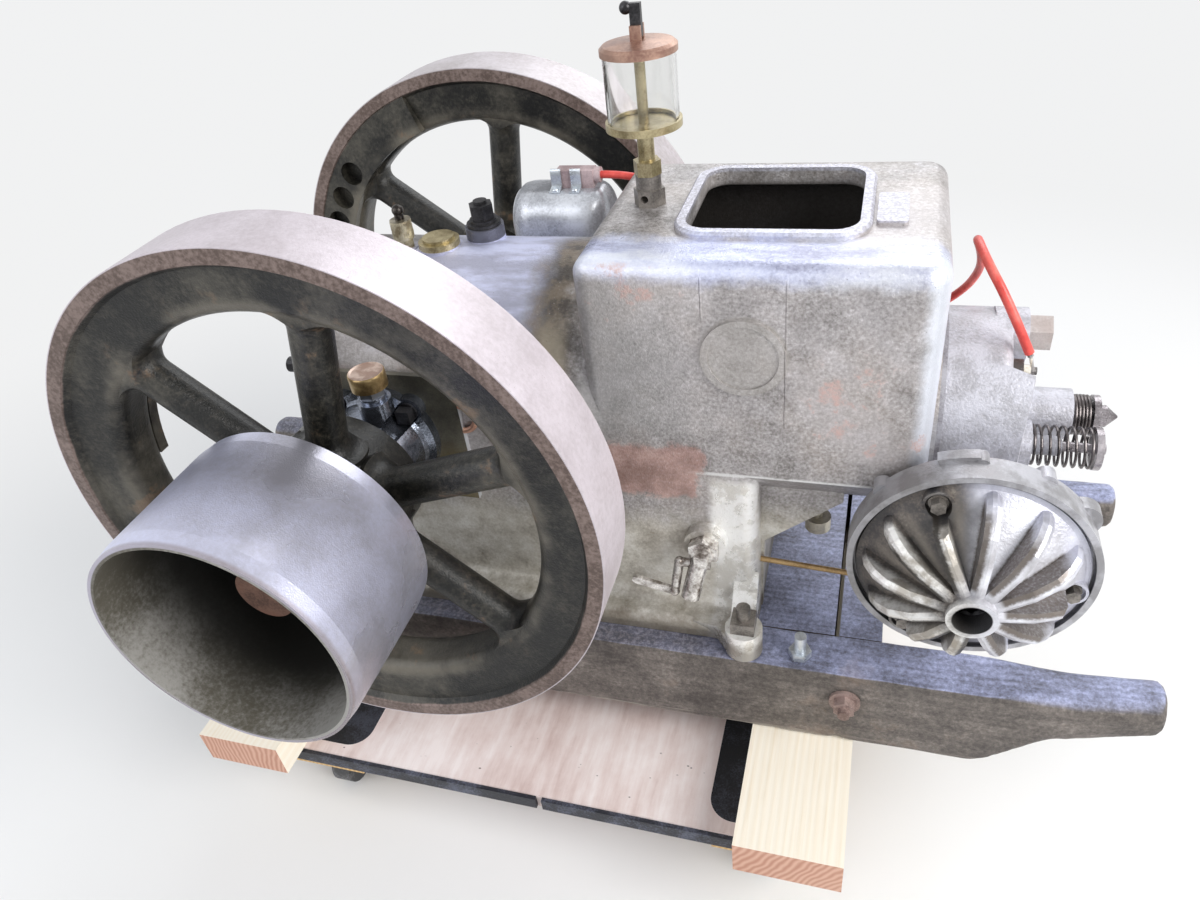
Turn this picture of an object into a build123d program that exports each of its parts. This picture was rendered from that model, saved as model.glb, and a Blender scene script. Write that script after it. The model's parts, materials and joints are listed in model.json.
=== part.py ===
from build123d import *
import math
import os

# Stationary kerosene engine on carrying skids, two bearers and a castor board.
# Millimetres. Everything is drawn about the crank axis: X runs from the crank towards
# the cylinder head, Y along the crankshaft, Z up. At the end the whole engine is lifted
# so that the castors stand on Z = 0 with the overall box centred on the origin.

# Fits and gaps between pieces
FIT = 0.05
SHELL_GAP = 0.3
HUB_GAP = 12.0
POT_GAP = 1.0

# Crankcase, its skirt and its feet
CASE_LEFT = -82.0
CASE_RIGHT = 320.0
CASE_HALF = 103.0
CASE_TOP = 126.5
CASE_CORNER = 14.0
BASE_BOTTOM = -185.0
BASE_TOP = -168.0
BASE_HOLLOW = 12.0
BASE_ROLL = 11.0
FOOT_X = 312.0
FOOT_LEFT_X = -62.0
FOOT_RADIUS = 16.0
FOOT_TOP = -158.0
FOOT_SWEEP = 46.0
STUD_RADIUS = 6.0
NUT_SIDE = 20.0
NUT_HEIGHT = 12.0
GUSSET_REACH = 66.0
GUSSET_THICK = 10.0
GUSSET_Y = 77.0
PLATE_THICK = 5.0
PLATE_CUT = (11.0, 13.0)
MAGNETO_SHELF_X = (58.0, 160.0)
MAGNETO_SHELF_Z = (62.0, 76.0)

CASE_SHOULDER = CASE_TOP - CASE_HALF
BASE_HALF = CASE_HALF + 25.5
FOOT_Y = BASE_HALF + 6.5
MAGNETO_SHELF_Y = CASE_HALF + 47.0

# Water hopper
HOPPER_LEFT = 185.0
HOPPER_RIGHT = 445.0
HOPPER_TOP = 163.0
HOPPER_SKIRT = -18.5
HOPPER_BELLY = -64.0
HOPPER_BELLY_HALF = 55.0
HOPPER_WALL = 9.0
HOPPER_CORNER = 13.5
HOPPER_END_CORNER = 18.0
HOPPER_TOP_ROUND = 13.0
BARREL_RADIUS = 52.0
FLANGE_RADIUS = 78.0
FLANGE_STEP = 4.0
MOUTH_X = (258.0, 383.0)
MOUTH_Y = (-52.0, 68.0)
MOUTH_CORNER = 18.0
LIP_WIDTH = 8.5
LIP_HEIGHT = 5.0
MARK_PAD = (404.7, -7.1, 21.4, 53.0)
MARK_PAD_HEIGHT = 3.5
BADGE_X = 310.0
BADGE_Z = 92.0
BADGE_RADIUS = 31.0
BADGE_RIM = 5.0
BADGE_HEIGHT = 1.5

# Main bearings
BEARING_FLANGE = 49.0
BEARING_LENGTH = 49.0
BEARING_STEP = 9.0
BEARING_SCREWS = 31.5
CUP_X = 14.0
CUP_Y = CASE_HALF + 30.0
BEARING_SEAT = CASE_HALF + PLATE_THICK
BEARING_END = CASE_HALF + BEARING_LENGTH

# Flywheels
WHEEL_RADIUS = 230.0
WHEEL_WIDTH = 59.0
RIM_BORE = 175.0
RIM_FACE_RING = 12.0
RIM_RECESS = 6.0
RIM_DISH = 3.0
RIM_BEAD = 13.0
SPOKES = 6
SPOKE_RADIUS = 15.5
SPOKE_FLARE = 14.0
SPOKE_SLAB = 17.0
NEAR_SPOKE_ANGLE = 78.8
FAR_SPOKE_ANGLE = 82.5
WHEEL_HUB_RADIUS = 58.0
WHEEL_HUB_LENGTH = 72.0
BALANCE_START = 109.0
BALANCE_END = 175.0
BALANCE_RADII = (179.0, 217.0)
BALANCE_HOLE_RADIUS = 12.5
BALANCE_HOLES = (140.0, 149.5, 158.5)
BALANCE_HOLE_DEPTH = 14.0
WHEEL_MIDDLE = BEARING_END + HUB_GAP + WHEEL_HUB_LENGTH / 2

# Crankshaft and belt pulley
SHAFT_RADIUS = 22.5
PULLEY_RADIUS = 98.0
PULLEY_WIDTH = 116.0
PULLEY_BACK = -WHEEL_MIDDLE - WHEEL_HUB_LENGTH / 2 - 5.0
PULLEY_FACE_END = PULLEY_BACK - PULLEY_WIDTH
PULLEY_WALL = 4.5
PULLEY_CROWN = 1.5
PULLEY_FLAT = 92.0
PULLEY_WEB = 12.0
PULLEY_HUB_RADIUS = 36.0
PULLEY_HUB_LENGTH = 46.0
SHAFT_NEAR_END = PULLEY_BACK - 63.0
SHAFT_FAR_END = WHEEL_MIDDLE + 50.0

# Cylinder head, measured onwards from the hopper end
GASKET = 3.5
HEAD_X = HOPPER_RIGHT + FLANGE_STEP + GASKET
HEAD_STEP_X = HOPPER_RIGHT + 54.0
HEAD_FRONT_X = HEAD_STEP_X + 26.0
HEAD_RADIUS = 75.0
HEAD_ROUND = 9.0
NOSE_ROUND = 11.0
NOSE_SLANT = 0.2
ROOF_EDGE = (-46.0, 59.5)
ROOF_SLOPES = (0.42, 0.62)
PLUG_Y = -32.0
PLUG_Z = 49.5
PLUG_TROUGH = 11.0
PAD_RADIUS = 22.0
PAD_Y = 12.0
PAD_Z = 54.0
PAD_FOOT = 12.0
HEX_LIFT = 3.0
PAD_X = HEAD_STEP_X + 12.0
HEAD_PLUG_FLATS = 26.0
HEAD_PLUG_LENGTH = 17.0
VALVE_Y = 23.0
VALVE_Z = -24.0
VALVE_BOSS_RADIUS = 21.0
VALVE_BOSS_END = HEAD_FRONT_X + 32.0
GUIDE_RADIUS = 8.0
GUIDE_END = HEAD_FRONT_X + 21.0
GUIDE_SEAT = HEAD_FRONT_X - 2.0
STEM_RADIUS = 4.0
SPRING_RADIUS = 17.0
SPRING_WIRE = 3.0
NEAR_SPRING_END = HEAD_FRONT_X + 44.0
FAR_SPRING_END = HEAD_FRONT_X + 48.0
RETAINER_THICK = 5.0

# Silencer on the near side of the head
POT_X = HOPPER_RIGHT + 35.0
POT_Z = -61.5
POT_RADIUS = 88.0
POT_BACK = -CASE_HALF - POT_GAP
POT_SPLIT = POT_BACK - 24.0
POT_RIM_FRONT = POT_BACK - 32.0
POT_HUB_FRONT = POT_BACK - 82.0
POT_WALL = 5.0
POT_GROOVE = 2.0
POT_HUB_RADIUS = 17.5
POT_BORE_RADIUS = 13.2
POT_RIBS = 12
POT_RIB_ANGLE = -5.0
POT_RIB_CREST = 3.0
POT_RIB_SLOPE = 30.0
POT_RIB_SPREAD = 3.5
POT_BOLTS = 3
POT_BOLT_ANGLE = -6.0
POT_BOLT_CIRCLE = 70.0
POT_POCKET = 9.0
POT_DISC_ANGLE = -167.0
POT_DISC_REACH = 58.5
POT_DISC_RADIUS = 8.5

# Skids, cross timbers, bearers
SKID_INNER = CASE_HALF + 2.0
SKID_WIDTH = 45.0
SKID_TOP = BASE_BOTTOM
SKID_HEIGHT = 89.0
SKID_RIGHT = 639.0
SKID_LEFT = -330.0
HANDLE_LENGTH = 139.0
HANDLE_NECK = 75.0
NECK_HEIGHT = 54.0
NECK_RISE = 21.0
TIP_WIDTH = 40.0
TIP_HEIGHT = 44.0
TIP_RISE = 30.5
TIP_DRIFT = 3.5
HANDLE_ROUND = 18.0
BEARER_WIDTH = 89.0
BEARER_HEIGHT = 38.0
BEARER_HALF_LENGTH = 268.0
BEARER_CENTRES = (-163.5, 365.5)

# Castor board
BOARD_X = (-190.0, 410.0)
BOARD_HALF = 238.0
BOARD_THICK = 18.0
PAD_DEPTH = 3.0
PAD_INSET_X = 4.0
PAD_INSET_Y = 12.0
PAD_REACH = 133.0
PAD_CORNER = 22.0
EDGE_THICK = 4.0
EDGE_HEIGHT = 14.0
EDGE_BREAK = 135.0
BATTEN_WIDTH = 90.0
BATTEN_THICK = 12.0
BATTEN_CENTRES = (-105.0, 341.0)
CASTOR_Y = 177.0
CASTOR_TALL = 62.0
CASTOR_RADIUS = 25.0
CASTOR_TREAD = 20.0
CASTOR_TRAIL = 22.0
CASTOR_PLATE = (62.0, 48.0, 2.5)

BEARER_TOP = SKID_TOP - SKID_HEIGHT
BOARD_TOP = BEARER_TOP - BEARER_HEIGHT
BOARD_BOTTOM = BOARD_TOP - BOARD_THICK
BATTEN_BOTTOM = BOARD_BOTTOM - BATTEN_THICK
FLOOR = BATTEN_BOTTOM - CASTOR_TALL
LIFT = Location((-(SKID_LEFT + SKID_RIGHT) / 2, -(PULLEY_FACE_END + BEARER_HALF_LENGTH) / 2, -FLOOR))

UP = (0, 0, 1)
nodes = {}


def block(x, y, z):
    """A box between two values on each axis."""
    size = (x[1] - x[0], y[1] - y[0], z[1] - z[0])
    middle = ((x[0] + x[1]) / 2, (y[0] + y[1]) / 2, (z[0] + z[1]) / 2)
    return Pos(*middle) * Box(*size)


def bar(radius, start, end):
    """A round bar between two points."""
    along = Vector(*end) - Vector(*start)
    plane = Plane(origin=start, z_dir=along)
    return plane * Cylinder(radius, along.length, align=(Align.CENTER, Align.CENTER, Align.MIN))


def hexagon(flats, start, end):
    """A hexagonal bar between two points, by its width across flats."""
    along = Vector(*end) - Vector(*start)
    plane = Plane(origin=start, z_dir=along)
    return extrude(plane * RegularPolygon(flats / 2, 6, major_radius=False), along.length)


def turned(points, centre=(0, 0)):
    """A solid turned about the Y axis through centre (x, z), from (radius, y) points."""
    face = make_face(Polyline(*points, close=True))
    return Pos(centre[0], 0, centre[1]) * revolve(face, Axis.Y)


def rounded_plate(x, y, z, corner):
    """A flat plate with rounded corners in plan."""
    sketch = RectangleRounded(x[1] - x[0], y[1] - y[0], corner)
    place = Pos((x[0] + x[1]) / 2, (y[0] + y[1]) / 2, z[0])
    return extrude(place * sketch, z[1] - z[0])


def around(angle, radius):
    """The (x, z) offset at an angle in degrees from +X towards +Z."""
    turn = math.radians(angle)
    return radius * math.cos(turn), radius * math.sin(turn)


def sector(radii, ys, angles):
    """A piece of a flat ring about the Y axis between two angles."""
    low, high = sorted(ys)
    ring = bar(radii[1], (0, low, 0), (0, high, 0)) - bar(radii[0], (0, low - 1, 0), (0, high + 1, 0))
    far = radii[1] * 1.6
    middle = (angles[0] + angles[1]) / 2
    corners = [(0, 0)] + [around(angle, far) for angle in (angles[0], middle, angles[1])]
    wedge = extrude(Plane.XZ * make_face(Polyline(*corners, close=True)), max(abs(low), abs(high)) + 5, both=True)
    return ring & wedge


# Flywheels, crankshaft and pulley


def wheel_rim():
    """The rim: a machined ring, a dished face and a rounded inner bead, both sides alike."""
    half = WHEEL_WIDTH / 2
    ring_in = WHEEL_RADIUS - RIM_FACE_RING
    dish_out = half - RIM_RECESS
    dish_in = dish_out - RIM_DISH
    bead_top = RIM_BORE + RIM_BEAD
    bead_low = dish_in - RIM_BEAD
    upper = [
        Line((WHEEL_RADIUS, 0), (WHEEL_RADIUS, half)),
        Line((WHEEL_RADIUS, half), (ring_in, half)),
        Line((ring_in, half), (ring_in - RIM_RECESS * 0.7, dish_out)),
        Line((ring_in - RIM_RECESS * 0.7, dish_out), (bead_top, dish_in)),
        RadiusArc((bead_top, dish_in), (RIM_BORE, bead_low), -RIM_BEAD),
        Line((RIM_BORE, bead_low), (RIM_BORE, 0)),
    ]
    lower = [mirror(edge, Plane.XZ) for edge in upper]
    return revolve(make_face(Curve() + upper + lower), Axis.Y)


def spoke():
    """One spoke along +Z, flaring into the hub and the rim."""
    flare = SPOKE_RADIUS + SPOKE_FLARE
    root = WHEEL_HUB_RADIUS - 3
    tip = RIM_BORE + 2
    inner_end = root - 12
    outer_end = RIM_BORE + 7
    outline = [
        Line((0, inner_end), (flare, inner_end)),
        Line((flare, inner_end), (flare, root)),
        RadiusArc((flare, root), (SPOKE_RADIUS, root + SPOKE_FLARE), SPOKE_FLARE),
        Line((SPOKE_RADIUS, root + SPOKE_FLARE), (SPOKE_RADIUS, tip - SPOKE_FLARE)),
        RadiusArc((SPOKE_RADIUS, tip - SPOKE_FLARE), (flare, tip), SPOKE_FLARE),
        Line((flare, tip), (flare, outer_end)),
        Line((flare, outer_end), (0, outer_end)),
        Line((0, outer_end), (0, inner_end)),
    ]
    face = make_face(Curve() + [Plane.XZ * edge for edge in outline])
    solid = revolve(face, Axis.Z)
    slab = block((-60, 60), (-SPOKE_SLAB, SPOKE_SLAB), (0, WHEEL_RADIUS))
    return solid & slab


def flywheel(side, angle):
    """A cast flywheel, side -1 near or +1 far, its first spoke at angle degrees from +X.

    A balance weight with three drilled holes stands in the dish of the face that looks
    at the crankcase."""
    wheel = wheel_rim()
    face = WHEEL_WIDTH / 2 - 1.5
    floor = WHEEL_WIDTH / 2 - RIM_RECESS - RIM_DISH - 2
    wheel += sector(BALANCE_RADII, (-side * floor, -side * face), (BALANCE_START, BALANCE_END))
    for hole_angle in BALANCE_HOLES:
        x, z = around(hole_angle, sum(BALANCE_RADII) / 2)
        wheel -= bar(BALANCE_HOLE_RADIUS, (x, -side * (face + 1), z), (x, -side * (face - BALANCE_HOLE_DEPTH), z))
    wheel += Rot(90, 0, 0) * Cylinder(WHEEL_HUB_RADIUS, WHEEL_HUB_LENGTH)
    arm = spoke()
    for number in range(SPOKES):
        turn = 90 - angle - number * 360 / SPOKES
        wheel += Rot(0, turn, 0) * arm
    wheel -= Rot(90, 0, 0) * Cylinder(SHAFT_RADIUS + FIT, WHEEL_HUB_LENGTH * 2)
    return Pos(0, side * WHEEL_MIDDLE, 0) * wheel


def pulley():
    """A deep belt pulley open towards the viewer, its hub on the shaft."""
    flat_low = (PULLEY_FACE_END + PULLEY_BACK - PULLEY_FLAT) / 2
    flat_high = flat_low + PULLEY_FLAT
    bore = PULLEY_RADIUS - PULLEY_CROWN - PULLEY_WALL
    web_front = PULLEY_BACK - PULLEY_WEB
    hub_front = PULLEY_BACK - PULLEY_HUB_LENGTH
    return turned([
        (SHAFT_RADIUS + FIT, PULLEY_BACK),
        (PULLEY_RADIUS - PULLEY_CROWN, PULLEY_BACK),
        (PULLEY_RADIUS, flat_high),
        (PULLEY_RADIUS, flat_low),
        (PULLEY_RADIUS - PULLEY_CROWN, PULLEY_FACE_END),
        (bore, PULLEY_FACE_END),
        (bore, web_front),
        (PULLEY_HUB_RADIUS, web_front),
        (PULLEY_HUB_RADIUS, hub_front),
        (SHAFT_RADIUS + FIT, hub_front),
    ])


nodes["crankshaft"] = bar(SHAFT_RADIUS, (0, SHAFT_NEAR_END, 0), (0, SHAFT_FAR_END, 0))
nodes["near_flywheel"] = flywheel(-1, NEAR_SPOKE_ANGLE)
nodes["far_flywheel"] = flywheel(1, FAR_SPOKE_ANGLE)
nodes["belt_pulley"] = pulley()


# Engine block: crankcase, skirt, feet and water hopper in one casting


def along_x(face, start, end):
    """A Y-Z profile carried along X."""
    return extrude(Plane(origin=(start, 0, 0), x_dir=(0, 1, 0), z_dir=(1, 0, 0)) * face, end - start)


def case_body():
    """Straight sides under a half-round crown, with rounded corners in plan."""
    sides = Polyline(
        (CASE_HALF, CASE_SHOULDER), (CASE_HALF, BASE_BOTTOM), (-CASE_HALF, BASE_BOTTOM), (-CASE_HALF, CASE_SHOULDER)
    )
    crown = ThreePointArc((-CASE_HALF, CASE_SHOULDER), (0, CASE_TOP), (CASE_HALF, CASE_SHOULDER))
    body = along_x(make_face(Curve() + [sides, crown]), CASE_LEFT, CASE_RIGHT)
    return body & rounded_plate(
        (CASE_LEFT, CASE_RIGHT), (-CASE_HALF, CASE_HALF), (BASE_BOTTOM - 1, CASE_TOP + 1), CASE_CORNER
    )


def skirt_half(side):
    """One side of the skirt: a hollow sweeping out of the wall into a rounded roll."""
    hollow, roll = BASE_HOLLOW, BASE_ROLL
    slant = math.sqrt(0.5)
    hollow_mid = (CASE_HALF + hollow * (1 - slant), BASE_TOP + hollow * (1 - slant))
    roll_mid = (BASE_HALF - roll * (1 - slant), BASE_TOP - roll * (1 - slant))
    outline = [
        Line((0, BASE_TOP + hollow), (CASE_HALF, BASE_TOP + hollow)),
        ThreePointArc((CASE_HALF, BASE_TOP + hollow), hollow_mid, (CASE_HALF + hollow, BASE_TOP)),
        Line((CASE_HALF + hollow, BASE_TOP), (BASE_HALF - roll, BASE_TOP)),
        ThreePointArc((BASE_HALF - roll, BASE_TOP), roll_mid, (BASE_HALF, BASE_TOP - roll)),
        Polyline((BASE_HALF, BASE_TOP - roll), (BASE_HALF, BASE_BOTTOM), (0, BASE_BOTTOM), (0, BASE_TOP + hollow)),
    ]
    half = along_x(make_face(Curve() + outline), CASE_LEFT, CASE_RIGHT)
    return half if side > 0 else mirror(half, Plane.XZ)


def foot(x, way, side):
    """A foot boss outside a corner of the case, with the skirt and the corner sweeping into it."""
    wall, rim = side * (CASE_HALF - 5), side * (BASE_HALF - 3)
    plan = Polyline(
        (x - way * FOOT_SWEEP, wall), (x - way * FOOT_SWEEP, rim), (x - way * 24, side * (BASE_HALF + 1)),
        (x - way * 13, side * (FOOT_Y + FOOT_RADIUS - 8)), (x, side * FOOT_Y), (x, wall), close=True,
    )
    solid = extrude(Pos(0, 0, BASE_BOTTOM) * make_face(plan), BASE_TOP - 1 - BASE_BOTTOM, dir=UP)
    solid += bar(FOOT_RADIUS, (x, side * FOOT_Y, BASE_BOTTOM), (x, side * FOOT_Y, FOOT_TOP))
    rise = Polyline(
        (wall, BASE_BOTTOM), (wall, FOOT_TOP + 30), (side * (CASE_HALF + 4), FOOT_TOP + 14),
        (side * (CASE_HALF + 17), FOOT_TOP), (side * FOOT_Y, FOOT_TOP), (side * FOOT_Y, BASE_BOTTOM), close=True,
    )
    face = Plane(origin=(x - 13, 0, 0), x_dir=(0, 1, 0), z_dir=(1, 0, 0)) * make_face(rise)
    return solid + extrude(face, 21, dir=(1, 0, 0))


def hopper_section(inset, low):
    """Cross-section of the hopper, moved inwards by inset and closed at low."""
    half = CASE_HALF - inset
    belly = HOPPER_BELLY_HALF
    points = [(half, HOPPER_TOP - inset), (half, HOPPER_SKIRT)]
    if low < HOPPER_SKIRT:
        points += [(half - 24, HOPPER_SKIRT - 28), (belly, low)]
        points += [(-belly, low), (-half + 24, HOPPER_SKIRT - 28)]
    points += [(-half, HOPPER_SKIRT), (-half, HOPPER_TOP - inset)]
    return make_face(Polyline(*points, close=True))


def hopper_shell():
    """The water hopper as a rounded box with a tapering belly, before it is hollowed."""
    hopper = along_x(hopper_section(0, HOPPER_BELLY), HOPPER_LEFT, HOPPER_RIGHT)
    uprights = hopper.edges().filter_by(Axis.Z).group_by(Axis.X)
    hopper = fillet(uprights[-1], HOPPER_END_CORNER)
    uprights = hopper.edges().filter_by(Axis.Z).group_by(Axis.X)
    hopper = fillet(uprights[0], HOPPER_CORNER)
    return fillet(hopper.faces().sort_by(Axis.Z)[-1].edges(), HOPPER_TOP_ROUND)


TOP_BOSSES = ((0.0, -3.5, 11.0, 0.5), (30.3, 1.0, 19.0, 0.5), (66.0, 22.0, 17.0, 10.5))
DRAIN_X = 277.0
DRAIN_Z = -89.0
DRAIN_FACE = -CASE_HALF - 11.0
DRAIN_BOSS_RADIUS = 18.0


def engine_block():
    solid = case_body() + skirt_half(1) + skirt_half(-1) + hopper_shell()
    solid += bar(FLANGE_RADIUS, (HOPPER_RIGHT - 14, 0, 0), (HOPPER_RIGHT + FLANGE_STEP, 0, 0))
    room = along_x(
        hopper_section(HOPPER_WALL, HOPPER_SKIRT), HOPPER_LEFT + HOPPER_WALL, HOPPER_RIGHT - HOPPER_WALL
    )
    barrel = bar(BARREL_RADIUS, (HOPPER_LEFT, 0, 0), (HOPPER_RIGHT, 0, 0))
    solid = solid - (room - barrel)
    outer_x = (MOUTH_X[0] - LIP_WIDTH, MOUTH_X[1] + LIP_WIDTH)
    outer_y = (MOUTH_Y[0] - LIP_WIDTH, MOUTH_Y[1] + LIP_WIDTH)
    lip = rounded_plate(outer_x, outer_y, (HOPPER_TOP - 1, HOPPER_TOP + LIP_HEIGHT), MOUTH_CORNER + LIP_WIDTH)
    solid += chamfer(lip.faces().sort_by(Axis.Z)[-1].edges(), 2)
    mouth_z = (HOPPER_TOP - HOPPER_WALL - 1, HOPPER_TOP + LIP_HEIGHT + 1)
    solid -= rounded_plate(MOUTH_X, MOUTH_Y, mouth_z, MOUTH_CORNER)
    pad_x, pad_y, pad_wide, pad_long = MARK_PAD
    solid += rounded_plate(
        (pad_x - pad_wide / 2, pad_x + pad_wide / 2),
        (pad_y - pad_long / 2, pad_y + pad_long / 2),
        (HOPPER_TOP - 1, HOPPER_TOP + MARK_PAD_HEIGHT),
        3,
    )
    badge_face = -CASE_HALF - BADGE_HEIGHT
    solid += bar(BADGE_RADIUS, (BADGE_X, -CASE_HALF + 1, BADGE_Z), (BADGE_X, badge_face, BADGE_Z))
    ring = bar(BADGE_RADIUS, (BADGE_X, badge_face, BADGE_Z), (BADGE_X, badge_face - BADGE_HEIGHT, BADGE_Z))
    solid += ring - bar(BADGE_RADIUS - BADGE_RIM, (BADGE_X, badge_face + 1, BADGE_Z), (BADGE_X, badge_face - 9, BADGE_Z))
    for side in (-1, 1):
        solid += foot(FOOT_X, 1, side) + foot(FOOT_LEFT_X, -1, side)
        web = [
            (CASE_RIGHT - 2, HOPPER_BELLY + 22),
            (CASE_RIGHT + GUSSET_REACH, HOPPER_BELLY + 22),
            (CASE_RIGHT + GUSSET_REACH, HOPPER_BELLY + 11),
            (CASE_RIGHT + 3, HOPPER_BELLY - 40),
            (CASE_RIGHT + 1, BASE_BOTTOM),
            (CASE_RIGHT - 2, BASE_BOTTOM),
        ]
        rib = extrude(Plane.XZ * make_face(Polyline(*web, close=True)), GUSSET_THICK / 2, both=True)
        solid += Pos(0, side * GUSSET_Y, 0) * rib
    for x, y, radius, rise in TOP_BOSSES:
        solid += bar(radius, (x, y, CASE_SHOULDER), (x, y, CASE_TOP + rise))
    solid += bar(DRAIN_BOSS_RADIUS, (DRAIN_X, -CASE_HALF + 5, DRAIN_Z), (DRAIN_X, DRAIN_FACE, DRAIN_Z))
    solid += block(MAGNETO_SHELF_X, (CASE_HALF - 25, MAGNETO_SHELF_Y), MAGNETO_SHELF_Z)
    solid -= bar(SHAFT_RADIUS + 3, (0, -CASE_HALF - 1, 0), (0, CASE_HALF + 1, 0))
    return solid


nodes["engine_block"] = engine_block()


# Main bearings with their plates, screws and oil cups


def both_sides(make):
    """The near and the far piece as one group."""
    return Compound(children=[make(-1), make(1)])


def corner_spots(reach):
    """Four (x, z) places at equal reach from the crank axis."""
    return [(sx * reach, sz * reach) for sx in (-1, 1) for sz in (-1, 1)]


def bearing(side):
    """A flanged housing narrowing to its end, with four screw bosses and a lug for the oil cup."""
    seat, face = BEARING_SEAT, BEARING_SEAT + BEARING_STEP
    bore = SHAFT_RADIUS + FIT
    points = [
        (bore, seat), (BEARING_FLANGE, seat), (BEARING_FLANGE, face), (44, face + 4), (42, face + 8),
        (39, BEARING_END - 6), (36, BEARING_END), (bore, BEARING_END),
    ]
    solid = turned([(r, side * y) for r, y in points])
    for x, z in corner_spots(BEARING_SCREWS):
        solid += bar(12, (x, side * seat, z), (x, side * face, z))
    lug = bar(14, (CUP_X, side * CUP_Y, 26), (CUP_X, side * CUP_Y, 54))
    lug += bar(11, (CUP_X, side * CUP_Y, 54), (CUP_X, side * CUP_Y, 58))
    solid += lug - bar(SHAFT_RADIUS + 6, (0, side * seat, 0), (0, side * BEARING_END, 0))
    for x, z in corner_spots(BEARING_SCREWS):
        solid -= bar(10, (x, side * face, z), (x, side * BEARING_END, z))
    return solid


def bearing_screws():
    """Square-headed screws, four on each bearing."""
    heads = []
    face = BEARING_SEAT + BEARING_STEP
    for side in (-1, 1):
        for x, z in corner_spots(BEARING_SCREWS):
            head = bar(8.5, (x, side * face, z), (x, side * (face + 2), z))
            low, high = sorted((side * (face + 2), side * (face + 11)))
            heads.append(head + block((x - 6, x + 6), (low, high), (z - 6, z + 6)))
    return Compound(children=heads)


def oil_cup(side):
    x, y = CUP_X, side * CUP_Y
    cup = hexagon(19, (x, y, 58), (x, y, 66))
    lid = bar(15, (x, y, 66), (x, y, 79))
    return cup + chamfer(lid.faces().sort_by(Axis.Z)[-1].edges(), 1.5)


def end_plate(side):
    """The flat plate behind a bearing, with one top corner cut."""
    left, top, right = -BEARING_FLANGE - 17, BEARING_FLANGE + 12, BEARING_FLANGE + 24
    cut = (right - PLATE_CUT[0], top - PLATE_CUT[1])
    outline = Polyline((left, left), (right, left), (right, cut[1]), (cut[0], top), (left, top), close=True)
    plate = extrude(Plane.XZ * make_face(outline), PLATE_THICK / 2, both=True)
    plate -= bar(SHAFT_RADIUS + 3, (0, -PLATE_THICK, 0), (0, PLATE_THICK, 0))
    return Pos(0, side * (CASE_HALF + PLATE_THICK / 2), 0) * plate


nodes["bearing_plates"] = both_sides(end_plate)
nodes["main_bearings"] = both_sides(bearing)
nodes["bearing_screws"] = bearing_screws()
nodes["oil_cups"] = both_sides(oil_cup)


def oil_pipe():
    """A small pipe looping out from behind the near plate."""
    loop = Pos(BEARING_FLANGE + 24, -CASE_HALF - 3.2, 20.5) * (Rot(90, 0, 0) * Torus(12.5, 2.7))
    return loop & block((BEARING_FLANGE + 24, BEARING_FLANGE + 51), (-CASE_HALF - 20, 0), (0, 50))


def side_knob():
    """A small knob on the left end of the crankcase."""
    y, z = -82, 48
    return bar(4, (CASE_LEFT, y, z), (CASE_LEFT - 9, y, z)) + bar(7, (CASE_LEFT - 9, y, z), (CASE_LEFT - 17, y, z))


nodes["oil_pipe"] = oil_pipe()
nodes["side_knob"] = side_knob()


# Fittings on top of the crankcase


def priming_tap():
    x, y, _, rise = TOP_BOSSES[0]
    z = CASE_TOP + rise
    tap = hexagon(14, (x, y, z), (x, y, z + 8))
    tap += bar(9, (x, y, z + 8), (x, y, z + 25)) + bar(4, (x, y, z + 25), (x, y, z + 31))
    return tap + Pos(x, y, z + 33) * Sphere(5)


def filler_cap():
    x, y, _, rise = TOP_BOSSES[1]
    z = CASE_TOP + rise
    return bar(18, (x, y, z), (x, y, z + 5)) + bar(14, (x, y, z + 5), (x, y, z + 8))


def breather_nut():
    x, y, _, rise = TOP_BOSSES[2]
    z = CASE_TOP + rise
    nut = bar(15, (x, y, z), (x, y, z + 3)) + bar(12, (x, y, z + 3), (x, y, z + 6))
    nut += hexagon(19, (x, y, z + 6), (x, y, z + 19))
    return nut + bar(6, (x, y, z + 19), (x, y, z + 22))


nodes["priming_tap"] = priming_tap()
nodes["filler_cap"] = filler_cap()
nodes["breather_nut"] = breather_nut()


# Drip oiler on the hopper


OILER_X = 221.0
OILER_Y = 6.0
OILER_NUT = (HOPPER_TOP, HOPPER_TOP + 13.0)
OILER_BODY = HOPPER_TOP + 24.0
OILER_HEX = OILER_BODY + 11.0
OILER_STEM = OILER_HEX + 23.5
OILER_TRAY = OILER_STEM + 4.0
OILER_GLASS_TOP = OILER_TRAY + 50.0
OILER_CAP_TOP = OILER_GLASS_TOP + 8.5
OILER_GLASS_RADIUS = 27.0
OILER_GLASS_WALL = 2.5
TOGGLE_PIVOT = OILER_CAP_TOP + 6.0


def oiler_stand():
    x, y = OILER_X, OILER_Y
    stand = hexagon(22, (x, y, OILER_NUT[0]), (x, y, OILER_NUT[1]))
    stand += bar(10, (x, y, OILER_NUT[1]), (x, y, OILER_BODY))
    hole = OILER_NUT[0] + 7
    return stand - bar(3, (x - 3, y - 20, hole), (x, y, hole))


def oiler_base():
    x, y = OILER_X, OILER_Y
    base = hexagon(19, (x, y, OILER_BODY), (x, y, OILER_HEX))
    base += bar(6.5, (x, y, OILER_HEX), (x, y, OILER_STEM))
    base += bar(20, (x, y, OILER_STEM), (x, y, OILER_STEM + 1.5))
    tray = bar(OILER_GLASS_RADIUS + 2, (x, y, OILER_STEM + 1.5), (x, y, OILER_TRAY + 3))
    tray -= bar(OILER_GLASS_RADIUS + FIT, (x, y, OILER_TRAY), (x, y, OILER_TRAY + 4))
    base += tray
    return base + bar(4, (x, y, OILER_TRAY), (x, y, OILER_GLASS_TOP))


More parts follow.
